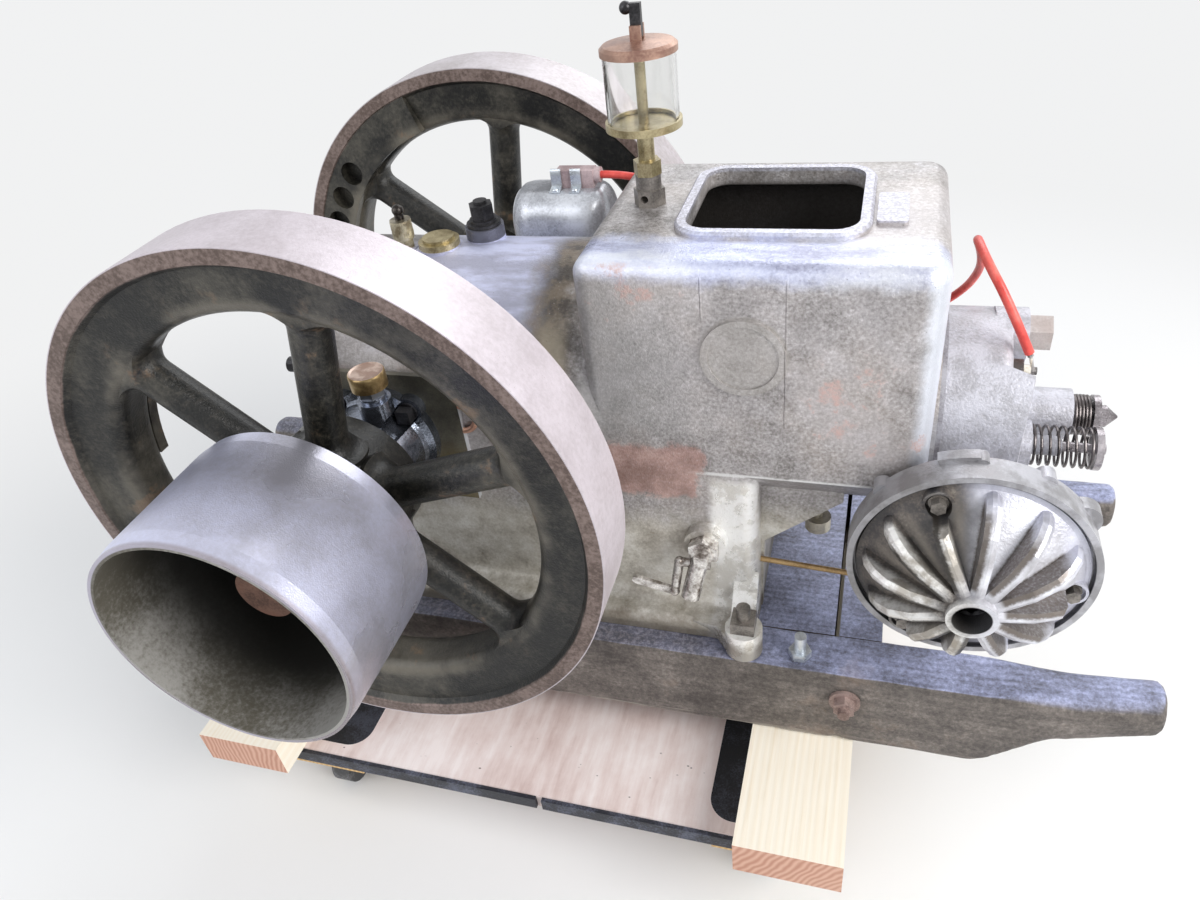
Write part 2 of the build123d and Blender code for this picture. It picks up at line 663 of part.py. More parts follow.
def oiler_glass():
    x, y = OILER_X, OILER_Y
    outer = bar(OILER_GLASS_RADIUS, (x, y, OILER_TRAY), (x, y, OILER_GLASS_TOP))
    inner = bar(OILER_GLASS_RADIUS - OILER_GLASS_WALL, (x, y, OILER_TRAY - 1), (x, y, OILER_GLASS_TOP + 1))
    return outer - inner


def oiler_cap():
    cap = turned([
        (0, OILER_GLASS_TOP), (OILER_GLASS_RADIUS + 1.5, OILER_GLASS_TOP),
        (OILER_GLASS_RADIUS + 1.5, OILER_GLASS_TOP + 4.5), (OILER_GLASS_RADIUS - 1, OILER_CAP_TOP - 1.8),
        (9, OILER_CAP_TOP), (0, OILER_CAP_TOP),
    ])
    cap = Pos(OILER_X, OILER_Y, 0) * (Rot(90, 0, 0) * cap)
    ear = block((-4, 4), (-6, -3), (OILER_CAP_TOP - 2, TOGGLE_PIVOT + 4))
    other = block((-4, 4), (3, 6), (OILER_CAP_TOP - 2, TOGGLE_PIVOT + 4))
    cap += Pos(OILER_X, OILER_Y, 0) * (ear + other)
    return cap


def toggle():
    lever = block((-4, 4), (-2.5, 2.5), (TOGGLE_PIVOT - 4, TOGGLE_PIVOT + 18))
    lever += Pos(-7, 0, TOGGLE_PIVOT + 15) * Sphere(4.5)
    return Pos(OILER_X, OILER_Y, 0) * lever


nodes["oiler_stand"] = oiler_stand()
nodes["oiler_base"] = oiler_base()
nodes["oiler_glass"] = oiler_glass()
nodes["oiler_cap"] = oiler_cap()
nodes["oiler_toggle"] = toggle()


# Magneto on its shelf, ignition lead and spark plug


MAGNETO_X = 109.0
MAGNETO_Y = CASE_HALF + 9.0
MAGNETO_HALF = (49.0, 36.0)
MAGNETO_SHOULDER = 112.0
MAGNETO_TOP = 137.0
TOWER_X = (106.0, 148.0)
TOWER_TOP = MAGNETO_TOP + 16.0
TOWER_OUTLET = MAGNETO_TOP + 10.0
TOWER_HALF = 7.5


def magneto_body():
    z0 = MAGNETO_SHELF_Z[1]
    low = Pos(MAGNETO_X, MAGNETO_Y, z0) * RectangleRounded(2 * MAGNETO_HALF[0], 2 * MAGNETO_HALF[1], 26)
    body = extrude(low, MAGNETO_SHOULDER - z0)
    top = Pos(MAGNETO_X, MAGNETO_Y, MAGNETO_SHOULDER) * RectangleRounded(
        2 * MAGNETO_HALF[0], 2 * MAGNETO_HALF[1], 26
    )
    levels = [top]
    for rise, inset, corner in ((0.42, 3, 26), (0.72, 9, 22), (0.92, 17, 14), (1.0, 24, 6)):
        z = MAGNETO_SHOULDER + (MAGNETO_TOP - MAGNETO_SHOULDER) * rise
        wide, deep = 2 * (MAGNETO_HALF[0] - inset), 2 * (MAGNETO_HALF[1] - inset)
        levels.append(Pos(MAGNETO_X, MAGNETO_Y, z) * RectangleRounded(wide, deep, corner * deep / 72))
    for first, second in zip(levels, levels[1:]):
        body += loft([first, second], ruled=True)
    return body - bar(CASE_HALF + SHELL_GAP, (0, 0, CASE_SHOULDER), (HOPPER_LEFT, 0, CASE_SHOULDER))


def magneto_tower():
    tower = block((TOWER_X[0], TOWER_X[1] - 6), (MAGNETO_Y - TOWER_HALF, MAGNETO_Y + TOWER_HALF), (MAGNETO_TOP, TOWER_TOP))
    return tower + bar(7, (TOWER_X[1] - 6, MAGNETO_Y, TOWER_OUTLET), (TOWER_X[1], MAGNETO_Y, TOWER_OUTLET))


LEAD_RADIUS = 3.5
BESIDE = CASE_HALF + 15.0
LEAD_POINTS = [
    (TOWER_X[1], MAGNETO_Y, TOWER_OUTLET), (TOWER_X[1] + 37, MAGNETO_Y, TOWER_OUTLET),
    (HOPPER_LEFT + 50, BESIDE - 3, 122), (HOPPER_LEFT + 110, BESIDE, 80), (HOPPER_RIGHT - 90, BESIDE, 36),
    (HOPPER_RIGHT - 47, BESIDE, 10), (HOPPER_RIGHT - 5, BESIDE, 12), (HOPPER_RIGHT + 25, BESIDE - 11, 42),
    (HOPPER_RIGHT + 34, 84, 73), (HOPPER_RIGHT + 30.5, 56, 102), (HOPPER_RIGHT + 21, 28, 130),
    (HOPPER_RIGHT + 26, -10, 129), (HOPPER_RIGHT + 44.5, PLUG_Y, 104), (HOPPER_RIGHT + 63.7, PLUG_Y, 64.7),
]


def spark_plug():
    """A plug lying along X out of the head, with a wire from its terminal up to the lead."""
    x, y, z = HEAD_STEP_X, PLUG_Y, PLUG_Z
    plug = hexagon(17, (x, y, z), (x + 7, y, z)) + bar(4.5, (x + 7, y, z), (x + 12.5, y, z))
    plug += bar(3, (x + 12.5, y, z), (x + 17, y, z))
    end = Vector(*LEAD_POINTS[-1])
    back = (Vector(*LEAD_POINTS[-2]) - end).normalized()
    ferrule = bar(2.2, tuple(end - back * 3), tuple(end))
    return plug + ferrule + bar(1.3, (x + 14.5, y, z), tuple(end - back * 2))


def lead():
    """The high-tension lead, with arcs as large as its runs allow."""
    points = [Vector(*p) for p in LEAD_POINTS]
    radii = []
    for before, here, after in zip(points, points[1:], points[2:]):
        turn = math.radians((here - before).get_angle(after - here))
        shorter = min((here - before).length, (after - here).length)
        radii.append(0.45 * shorter / math.tan(turn / 2))
    print("lead arc radii", [round(r, 1) for r in radii])
    path = FilletPolyline(*LEAD_POINTS, radius=radii)
    section = Plane(origin=path @ 0, z_dir=path % 0) * Circle(LEAD_RADIUS)
    tube = sweep(section, path=path)
    print("lead length", round(path.length), "volume share", tube.volume / (path.length * section.area))
    return tube


nodes["magneto_body"] = magneto_body()
nodes["magneto_tower"] = magneto_tower()
nodes["spark_plug"] = spark_plug()
nodes["ignition_lead"] = lead()


# Cylinder head, valves and head plug


def head():
    """A round head about the cylinder axis with a stepped nose, a plug pad and valve bosses."""
    solid = bar(HEAD_RADIUS, (HEAD_X, 0, 0), (HEAD_STEP_X, 0, 0))
    solid = fillet(solid.faces().sort_by(Axis.X)[-1].edges(), HEAD_ROUND)
    nose = bar(HEAD_RADIUS, (HEAD_X, 0, 0), (HEAD_FRONT_X, 0, 0))
    nose = fillet(nose.faces().sort_by(Axis.X)[-1].edges(), NOSE_ROUND)
    slant = Plane(origin=(HEAD_FRONT_X, 10, 0), z_dir=(1, -NOSE_SLANT, 0))
    nose -= slant * Box(300, 300, 60, align=(Align.CENTER, Align.CENTER, Align.MIN))
    roof = Plane(origin=(HEAD_STEP_X, *ROOF_EDGE), z_dir=(*ROOF_SLOPES, 1))
    over = roof * Box(300, 300, 120, align=(Align.CENTER, Align.CENTER, Align.MIN))
    nose -= over
    nose -= bar(PLUG_TROUGH, (HEAD_X, PLUG_Y, PLUG_Z), (HEAD_FRONT_X + 5, PLUG_Y, PLUG_Z))
    solid += nose
    solid += bar(PAD_RADIUS, (HEAD_STEP_X - 12, PAD_Y, PAD_Z), (PAD_X, PAD_Y, PAD_Z))
    solid += block((HEAD_STEP_X - 12, PAD_X), (PAD_Y - 19, PAD_Y + 19), (PAD_FOOT, PAD_Z))
    solid += bar(VALVE_BOSS_RADIUS, (HEAD_FRONT_X - 8, VALVE_Y, VALVE_Z), (VALVE_BOSS_END, VALVE_Y, VALVE_Z))
    solid += bar(SPRING_RADIUS + 2, (GUIDE_SEAT - 9, -VALVE_Y, VALVE_Z), (GUIDE_SEAT, -VALVE_Y, VALVE_Z))
    solid += bar(GUIDE_RADIUS, (GUIDE_SEAT - 9, -VALVE_Y, VALVE_Z), (GUIDE_END, -VALVE_Y, VALVE_Z))
    for side in (-1, 1):
        y = side * VALVE_Y
        solid -= bar(STEM_RADIUS + FIT, (HEAD_FRONT_X - 20, y, VALVE_Z), (VALVE_BOSS_END + 1, y, VALVE_Z))
    stub = bar(20, (POT_X - 5, -HEAD_RADIUS + 20, -34), (POT_X - 5, POT_BACK, -34))
    return solid + stub


def valve(side):
    """A stem with its spring retainer; the far one ends in a pointed cap."""
    y = side * VALVE_Y
    spring_end = NEAR_SPRING_END if side < 0 else FAR_SPRING_END
    washer_end = spring_end + RETAINER_THICK
    stem = bar(STEM_RADIUS, (HEAD_FRONT_X - 18, y, VALVE_Z), (washer_end + 4, y, VALVE_Z))
    stem += bar(SPRING_RADIUS, (spring_end, y, VALVE_Z), (washer_end, y, VALVE_Z))
    if side > 0:
        cap = bar(9, (washer_end, y, VALVE_Z), (washer_end + 6, y, VALVE_Z))
        point = Plane(origin=(washer_end + 6, y, VALVE_Z), z_dir=(1, 0, 0)) * Cone(
            9, 1, 9, align=(Align.CENTER, Align.CENTER, Align.MIN)
        )
        stem += cap + point
    return stem


def spring(side):
    """The envelope of a coil spring, as a sleeve."""
    y = side * VALVE_Y
    start, end = (GUIDE_SEAT, NEAR_SPRING_END) if side < 0 else (VALVE_BOSS_END, FAR_SPRING_END)
    sleeve = bar(SPRING_RADIUS, (start, y, VALVE_Z), (end, y, VALVE_Z))
    return sleeve - bar(SPRING_RADIUS - SPRING_WIRE, (start - 1, y, VALVE_Z), (end + 1, y, VALVE_Z))


nodes["head_gasket"] = bar(FLANGE_RADIUS - 1, (HEAD_X - GASKET, 0, 0), (HEAD_X, 0, 0))
nodes["cylinder_head"] = head()
nodes["valves"] = both_sides(valve)
nodes["valve_springs"] = both_sides(spring)
nodes["head_plug"] = hexagon(
    HEAD_PLUG_FLATS, (PAD_X, PAD_Y, PAD_Z + HEX_LIFT), (PAD_X + HEAD_PLUG_LENGTH, PAD_Y, PAD_Z + HEX_LIFT)
)


# Silencer


def pot_back():
    """The back half: a shallow cup with a ledge for the cover and lugs round its edge."""
    inner = POT_RADIUS - POT_WALL
    cup = turned([
        (0, POT_BACK), (POT_RADIUS - 12, POT_BACK), (POT_RADIUS, POT_BACK - 8), (POT_RADIUS, POT_RIM_FRONT),
        (inner, POT_RIM_FRONT), (inner, POT_SPLIT), (inner - 5, POT_SPLIT), (inner - 5, POT_BACK - 12),
        (inner - 11, POT_BACK - POT_WALL), (0, POT_BACK - POT_WALL),
    ])
    cup += sector((inner + 1, POT_RADIUS + 3.5), (POT_BACK - 4, POT_BACK - 14), (92, 110))
    for angle, size in ((141, 7), (91, 5), (61, 7), (32, 13)):
        x, z = around(angle, POT_RADIUS - size / 2)
        lug = bar(size, (x, POT_BACK - 3, z), (x, POT_BACK - 15, z))
        cup += lug - bar(inner - 2, (0, POT_BACK, 0), (0, POT_RIM_FRONT, 0))
    return Pos(POT_X, 0, POT_Z) * cup


def bolt_spots():
    """The (x, z) places of the cover bolts about the middle of the silencer."""
    return [around(POT_BOLT_ANGLE + number * 360 / POT_BOLTS, POT_BOLT_CIRCLE) for number in range(POT_BOLTS)]


def bulge(start, end, height):
    """A shallow arc from start to end that swells outwards by height."""
    across = Vector(*end) - Vector(*start)
    middle = (Vector(*start) + Vector(*end)) / 2
    out = Vector(across.Y, -across.X) / across.length
    top = middle + out * height
    return ThreePointArc(start, (top.X, top.Y), end)


def pot_rib(edge):
    """One rib in the plane of X and Y, steep-sided with a narrow crest."""
    profile = make_face(Polyline(
        (POT_HUB_RADIUS - 3, POT_HUB_FRONT + 5), (43, POT_HUB_FRONT + 11), (60, POT_HUB_FRONT + 19),
        (edge - 12, POT_HUB_FRONT + 28), (edge - 6, POT_HUB_FRONT + 38), (edge - 4, POT_HUB_FRONT + 48),
        (edge - 5, POT_HUB_FRONT + 54), (POT_HUB_RADIUS - 3, POT_HUB_FRONT + 23), close=True,
    ))
    rib = extrude(profile, POT_RIB_CREST / 2, both=True)
    for way in (-1, 1):
        side = Pos(0, 0, way * POT_RIB_CREST / 2) * profile
        rib += extrude(side, POT_RIB_SPREAD, dir=(0, 0, way), taper=POT_RIB_SLOPE)
    return rib


def pot_cover():
    """A domed cover with ribs to its open hub and three bolts in pockets."""
    edge = POT_RADIUS - POT_WALL - POT_GROOVE
    front = POT_RIM_FRONT + 2
    foot_of_hub = POT_HUB_FRONT + 12
    rim_in = (edge - 9, POT_SPLIT)
    throat = (POT_BORE_RADIUS, POT_HUB_FRONT + 18)
    outline = [
        Polyline((POT_BORE_RADIUS, POT_HUB_FRONT), (POT_HUB_RADIUS, POT_HUB_FRONT), (POT_HUB_RADIUS, foot_of_hub)),
        bulge((POT_HUB_RADIUS, foot_of_hub), (edge - 4, front), 1.5),
        Polyline((edge - 4, front), (edge, front + 1), (edge, POT_SPLIT), rim_in),
        bulge(throat, rim_in, 1.5),
        Line(throat, (POT_BORE_RADIUS, POT_HUB_FRONT)),
    ]
    cover = revolve(make_face(Curve() + outline), Axis.Y)
    rib = pot_rib(edge)
    for number in range(POT_RIBS):
        cover += Rot(0, -POT_RIB_ANGLE - number * 360 / POT_RIBS, 0) * rib
    for x, z in bolt_spots():
        cover += bar(POT_POCKET + 2, (x, POT_SPLIT, z), (x, POT_SPLIT - 12, z))
        cover -= bar(POT_POCKET, (x, POT_SPLIT - 8, z), (x, POT_HUB_FRONT, z))
    fall = (front - foot_of_hub) / (edge - 4 - POT_HUB_RADIUS)
    seat = Vector(POT_DISC_REACH, foot_of_hub + fall * (POT_DISC_REACH - POT_HUB_RADIUS))
    out = Vector(fall, -1).normalized()
    disc = bar(POT_DISC_RADIUS, tuple(seat - out * 3), tuple(seat + out * 3))
    cover += Rot(0, -POT_DISC_ANGLE, 0) * disc
    return Pos(POT_X, 0, POT_Z) * cover


def silencer_bolts():
    floor = POT_SPLIT - 8
    heads = [
        bar(7, (POT_X + x, floor, POT_Z + z), (POT_X + x, floor - 2, POT_Z + z))
        + hexagon(10, (POT_X + x, floor - 2, POT_Z + z), (POT_X + x, floor - 9, POT_Z + z))
        for x, z in bolt_spots()
    ]
    return Compound(children=heads)


nodes["silencer_back"] = pot_back()
nodes["silencer_cover"] = pot_cover()
nodes["silencer_bolts"] = silencer_bolts()


# Drain cock, union nut and rod on the near side


COCK_SHOULDER = DRAIN_FACE - 10.0
COCK_ROOT = (DRAIN_X - 2.0, DRAIN_FACE - 8.0, DRAIN_Z - 3.0)
COCK_TIP = (DRAIN_X - 10.0, DRAIN_FACE - 21.0, DRAIN_Z - 40.0)
COCK_CROSS = (DRAIN_X - 3.5, DRAIN_FACE - 10.5, DRAIN_Z - 10.0)
KEY_RADIUS = 4.0
DRAIN_DROP = 34.0
ROD_Z = -122.4
ROD_FALL = 7.6
ROD_LENGTH = 110.0


def cock_body():
    """A hexagon in the boss with a square plug, and a spout bored at its lower end."""
    x, z = DRAIN_X, DRAIN_Z
    body = hexagon(24, (x, DRAIN_FACE, z), (x, COCK_SHOULDER, z))
    body += bar(9, (x, COCK_SHOULDER, z), (x, COCK_SHOULDER - 3, z))
    body += block((x - 5.5, x + 5.5), (COCK_SHOULDER - 10, COCK_SHOULDER - 3), (z - 5.5, z + 5.5))
    body += bar(8, COCK_ROOT, COCK_TIP)
    down = (Vector(*COCK_TIP) - Vector(*COCK_ROOT)).normalized()
    body -= bar(4.5, tuple(Vector(*COCK_TIP) - down * 17), tuple(Vector(*COCK_TIP) + down * 5))
    kx, ky, kz = COCK_CROSS
    return body - bar(KEY_RADIUS + FIT, (kx - 25, ky, kz), (kx + 25, ky, kz))


def cock_key():
    """The key through the spout, with an arm beside the spout and a flat lever to the left."""
    x, y, z = COCK_CROSS
    elbow = (x - 20.5, y - 7.5, z - 28.0)
    key = bar(KEY_RADIUS, (x - 16.5, y, z), (x + 10, y, z))
    key += bar(4.2, (x - 16.5, y, z), elbow) + Pos(x - 16.5, y, z) * Sphere(4.6) + Pos(*elbow) * Sphere(4.6)
    end = (elbow[0] - 33.0, elbow[1], elbow[2] + 8.0)
    strip = Plane(origin=elbow, x_dir=Vector(*end) - Vector(*elbow), z_dir=(0, -1, 0))
    length = (Vector(*end) - Vector(*elbow)).length
    lever = extrude(strip * Pos(length / 2, 0) * SlotCenterToCenter(length, 8), 1.6, both=True)
    return key + lever


def hopper_drain():
    x, y = CASE_RIGHT + 45.0, -HOPPER_BELLY_HALF + 5.0
    low = HOPPER_BELLY - DRAIN_DROP
    return bar(4, (x, y, low), (x, y, HOPPER_BELLY)) + bar(11, (x, y, low - 12), (x, y, low))


def control_rod():
    """A thin rod from the end of the case to behind the silencer."""
    y = -GUSSET_Y - 9
    return bar(2.5, (CASE_RIGHT, y, ROD_Z), (CASE_RIGHT + ROD_LENGTH, y, ROD_Z - ROD_FALL))


nodes["drain_cock_body"] = cock_body()
nodes["drain_cock_key"] = cock_key()
nodes["hopper_drain"] = hopper_drain()
nodes["control_rod"] = control_rod()


def foot_nuts():
    pieces = []
    for x in (FOOT_LEFT_X, FOOT_X):
        for y in (-FOOT_Y, FOOT_Y):
            half = NUT_SIDE / 2
            nut = block((x - half, x + half), (y - half, y + half), (FOOT_TOP, FOOT_TOP + NUT_HEIGHT))
            nut += bar(STUD_RADIUS, (x, y, FOOT_TOP + NUT_HEIGHT), (x, y, FOOT_TOP + NUT_HEIGHT + 12))
            pieces.append(nut)
    return Compound(children=pieces)


nodes["foot_nuts"] = foot_nuts()


# Skids with carrying handles, cross timbers and bearers


def skid(side):
    """A timber whose ends are dressed down into rounded carrying handles."""
    z0, z1 = SKID_TOP - SKID_HEIGHT, SKID_TOP
    mid_y = side * (SKID_INNER + SKID_WIDTH / 2)
    mid_z = (z0 + z1) / 2
    left, right = SKID_LEFT + HANDLE_LENGTH, SKID_RIGHT - HANDLE_LENGTH
    body = Pos((left + right) / 2, mid_y, mid_z) * Box(right - left, SKID_WIDTH, SKID_HEIGHT)
    for end, way in ((right, 1), (left, -1)):
        sections = []
        for step in (0, 0.27, 0.53, 0.72, 1):
            share = step * step * (3 - 2 * step)
            high = SKID_HEIGHT + (NECK_HEIGHT - SKID_HEIGHT) * share
            corner = 1 + (HANDLE_ROUND - 1) * share
            place = (end + way * HANDLE_NECK * step, mid_y, mid_z + NECK_RISE * share)
            plane = Plane(origin=place, x_dir=(0, 1, 0), z_dir=(way, 0, 0))
            sections.append(plane * RectangleRounded(SKID_WIDTH, high, corner))
        place = (end + way * HANDLE_LENGTH, mid_y - side * TIP_DRIFT, mid_z + TIP_RISE)
        plane = Plane(origin=place, x_dir=(0, 1, 0), z_dir=(way, 0, 0))
        sections.append(plane * RectangleRounded(TIP_WIDTH, TIP_HEIGHT, HANDLE_ROUND))
        for first, second in zip(sections, sections[1:]):
            body += loft([first, second], ruled=True)
    return body


nodes["skids"] = both_sides(skid)

CROSS_TIMBERS = ((-140.0, -51.0), (298.0, 387.0), (391.0, 427.0))
CROSS_HEIGHT = 70.0
timbers = [
    block(span, (-SKID_INNER, SKID_INNER), (SKID_TOP - 2 - CROSS_HEIGHT, SKID_TOP - 2)) for span in CROSS_TIMBERS
]
nodes["cross_timbers"] = Compound(children=timbers)

TIE_X = 400.0
TIE_Z = -217.0
BOLT_FLATS = 17.0
BOLT_RADIUS = 5.0


def tie_bolts():
    pieces = []
    for side in (-1, 1):
        y = side * (SKID_INNER + SKID_WIDTH)
        washer = bar(13, (TIE_X, y, TIE_Z), (TIE_X, y + side * 3, TIE_Z))
        washer += hexagon(BOLT_FLATS, (TIE_X, y + side * 3, TIE_Z), (TIE_X, y + side * 11, TIE_Z))
        pieces.append(washer + bar(BOLT_RADIUS, (TIE_X, y + side * 11, TIE_Z), (TIE_X, y + side * 17, TIE_Z)))
    return Compound(children=pieces)


def loose_bolt():
    """A bolt standing on its head on the near skid."""
    x, y = 360.0, -SKID_INNER - 29.0
    head = hexagon(BOLT_FLATS, (x, y, SKID_TOP), (x, y, SKID_TOP + 7))
    return head + bar(BOLT_RADIUS, (x, y, SKID_TOP + 7), (x, y, SKID_TOP + 24))


nodes["tie_bolts"] = tie_bolts()
nodes["loose_bolt"] = loose_bolt()

bearers = [
    block(
        (x - BEARER_WIDTH / 2, x + BEARER_WIDTH / 2),
        (-BEARER_HALF_LENGTH, BEARER_HALF_LENGTH),
        (BOARD_TOP, BEARER_TOP),
    )
    for x in BEARER_CENTRES
]
nodes["bearers"] = Compound(children=bearers)


# Castor board


def pad(number):
    if number == 0:
        x = (BOARD_X[0] + PAD_INSET_X, BOARD_X[0] + PAD_REACH)
    else:
        x = (BOARD_X[1] - PAD_REACH + 14, BOARD_X[1] - PAD_INSET_X)
    reach = BOARD_HALF - PAD_INSET_Y
    return rounded_plate(x, (-reach, reach), (BOARD_TOP - PAD_DEPTH, BOARD_TOP), PAD_CORNER)


def edge_strips():
    pieces = []
    for side in (-1, 1):
        y = sorted((side * BOARD_HALF, side * (BOARD_HALF + EDGE_THICK)))
        for x in ((BOARD_X[0], EDGE_BREAK - 3), (EDGE_BREAK + 3, BOARD_X[1])):
            pieces.append(block(x, y, (BOARD_TOP - 2 - EDGE_HEIGHT, BOARD_TOP - 2)))
    return Compound(children=pieces)


board = block(BOARD_X, (-BOARD_HALF, BOARD_HALF), (BOARD_BOTTOM, BOARD_TOP))
nodes["grip_pads"] = Compound(children=[pad(0), pad(1)])
nodes["castor_board"] = board - pad(0) - pad(1)
nodes["edge_strips"] = edge_strips()
battens = [
    block(
        (x - BATTEN_WIDTH / 2, x + BATTEN_WIDTH / 2), (-BOARD_HALF + 2, BOARD_HALF - 2), (BATTEN_BOTTOM, BOARD_BOTTOM)
    )
    for x in BATTEN_CENTRES
]
nodes["board_battens"] = Compound(children=battens)


def castor_spots():
    return [(x, side * CASTOR_Y) for x in BATTEN_CENTRES for side in (-1, 1)]


def castor_plates():
    wide, deep, thick = CASTOR_PLATE
    pieces = []
    for x, y in castor_spots():
        plate = block(
            (x - wide / 2, x + wide / 2), (y - deep / 2, y + deep / 2), (BATTEN_BOTTOM - thick, BATTEN_BOTTOM)
        )
        cup = bar(17, (x, y, BATTEN_BOTTOM - thick - 4), (x, y, BATTEN_BOTTOM - thick))
        pieces.append(plate + cup)
    return Compound(children=pieces)


def castor_fork(x, y):
    top = BATTEN_BOTTOM - CASTOR_PLATE[2] - 4 - SHELL_GAP
    axle_y = y - CASTOR_TRAIL
    axle_z = FLOOR + CASTOR_RADIUS
    fork = bar(18, (x, y, top - 3), (x, y, top))
    fork += block((x - 14, x + 14), (axle_y - 4, y + 10), (top - 3, top))
    for way in (-1, 1):
        cheek_x = sorted((x + way * (CASTOR_TREAD / 2 + 1.5), x + way * (CASTOR_TREAD / 2 + 4)))
        cheek = Plane.YZ * make_face(Polyline(
            (axle_y - 8, axle_z - 8), (axle_y + 8, axle_z - 8), (y + 12, top - 1), (axle_y - 6, top - 1), close=True
        ))
        fork += Pos(cheek_x[0], 0, 0) * extrude(cheek, 2.5)
    axle = bar(3, (x - CASTOR_TREAD / 2 - 6, axle_y, axle_z), (x + CASTOR_TREAD / 2 + 6, axle_y, axle_z))
    return fork + axle


def castor_wheel(x, y):
    axle_y = y - CASTOR_TRAIL
    axle_z = FLOOR + CASTOR_RADIUS
    half = CASTOR_TREAD / 2
    wheel = bar(CASTOR_RADIUS, (x - half, axle_y, axle_z), (x + half, axle_y, axle_z))
    return wheel - bar(3 + FIT, (x - half - 1, axle_y, axle_z), (x + half + 1, axle_y, axle_z))


nodes["castor_plates"] = castor_plates()
for label, (x, y) in zip(("left_near", "left_far", "right_near", "right_far"), castor_spots()):
    nodes["castor_fork_" + label] = castor_fork(x, y)
    nodes["castor_wheel_" + label] = castor_wheel(x, y)

os.makedirs("parts", exist_ok=True)
for name, solid in nodes.items():
    placed = solid.moved(LIFT)
    placed.label = name
    export_step(placed, "parts/" + name + ".step")
print(len(nodes), "nodes, lifted by", [round(v, 1) for v in LIFT.position])
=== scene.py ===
# %% [markdown]
# # A stationary kerosene engine on its skids
# A small farm engine: two spoked flywheels and a wide belt pulley on one crankshaft, a
# crankcase and water hopper in one casting, a head with open valve springs, and a flat
# ribbed silencer. It stands on two carrying skids, and those stand on a castor board.
# The solids come from the CAD model and are already in place. Blender adds what a CAD
# model has no words for: worn iron, old timber, coiled springs and a soft red lead.
# %% Load the solids
import json

import bpy
import bmesh
import numpy as np
from mathutils import Matrix, Vector


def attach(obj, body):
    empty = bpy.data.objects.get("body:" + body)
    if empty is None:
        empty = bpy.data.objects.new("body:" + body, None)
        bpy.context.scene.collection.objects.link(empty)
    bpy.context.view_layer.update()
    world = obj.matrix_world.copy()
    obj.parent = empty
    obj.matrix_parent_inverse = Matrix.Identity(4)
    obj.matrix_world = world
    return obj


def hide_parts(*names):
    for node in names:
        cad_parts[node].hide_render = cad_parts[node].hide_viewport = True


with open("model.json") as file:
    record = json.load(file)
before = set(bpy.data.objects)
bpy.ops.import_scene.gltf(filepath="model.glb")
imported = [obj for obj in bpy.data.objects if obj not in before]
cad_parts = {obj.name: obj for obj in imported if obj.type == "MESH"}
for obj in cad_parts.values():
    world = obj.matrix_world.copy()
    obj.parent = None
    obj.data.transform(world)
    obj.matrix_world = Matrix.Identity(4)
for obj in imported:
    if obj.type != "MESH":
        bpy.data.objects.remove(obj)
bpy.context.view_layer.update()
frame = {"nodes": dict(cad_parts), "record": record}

nodes = frame["nodes"]

# %% [markdown]
# Places are easiest to think of from the crank axis, because everything on an engine
# is set out from it: X towards the head, Y along the shaft away from us, Z up. The
# drawing was made that way, in millimetres, so `at` turns such a place into metres in
# the shared frame. It takes whole arrays as well as single numbers.
# %% Measure from the crank axis
CRANK = np.array([-0.1545, 0.0445, 0.404])


def at(x, y, z):
    """A place in millimetres from the crank axis, as metres in the shared frame."""
    return np.stack(np.broadcast_arrays(x, y, z), -1) * 0.001 + CRANK


print("crank axis at", CRANK)

# %% [markdown]
# The camera stands where the photographer stood: close to the pulley, looking down over
# the near flywheel, and a little tilted. Its three directions are worked out from the
# turn, the dip and the tilt, and become the columns of its matrix.
# %% Camera
turn, dip, tilt = np.radians((-20.69, 36.59, -7.84))
ahead = np.array([np.sin(turn) * np.cos(dip), np.cos(turn) * np.cos(dip), -np.sin(dip)])
level = np.array([np.cos(turn), -np.sin(turn), 0.0])
upright = np.cross(level, ahead)
right = np.cos(tilt) * level + np.sin(tilt) * upright
up = np.cos(tilt) * upright - np.sin(tilt) * level

camera = bpy.data.objects.new("camera", bpy.data.cameras.new("camera"))
camera.data.sensor_width = 36.0
camera.data.lens = 26.615
matrix = np.eye(4)
matrix[:3, :3] = np.stack([right, up, -ahead], 1)
matrix[:3, 3] = at(398.02, -650.0, 430.57)
camera.matrix_world = Matrix(matrix.tolist())
bpy.context.scene.collection.objects.link(camera)
bpy.context.scene.camera = camera
print("camera at", camera.matrix_world.translation)

# %% [markdown]
# Light like that of a big door to the right: one wide lamp there does most of the
# modelling, a softer one from the left opens the shadows, and one behind draws the top
# edges. The world gives the rest. What the camera, a mirror or a glass sees directly is
# a near-white room, so bright metal has something pale to reflect.
# %% Lamps and world
scene = bpy.context.scene
scene.view_settings.view_transform = "Standard"


def lamp(name, place, target, size, watts, colour):
    """A square lamp at place that faces target, both in metres."""
    light = bpy.data.lights.new(name, "AREA")
    light.size, light.energy, light.color = size, watts, colour
    made = bpy.data.objects.new(name, light)
    away = (Vector(place) - Vector(target)).to_track_quat("Z", "Y")
    made.matrix_world = Matrix.Translation(place) @ away.to_matrix().to_4x4()
    scene.collection.objects.link(made)
    print("lamp", name, watts, "W")


lamp("door_light", (2.3, -0.9, 1.7), (0.1, 0.0, 0.35), 1.5, 76, (1.0, 0.985, 0.96))
lamp("left_light", (-1.9, -1.8, 1.9), (0.0, 0.0, 0.3), 2.2, 38, (0.95, 0.97, 1.0))
lamp("back_light", (0.4, 2.0, 2.2), (0.0, 0.0, 0.4), 1.8, 30, (0.96, 0.98, 1.0))


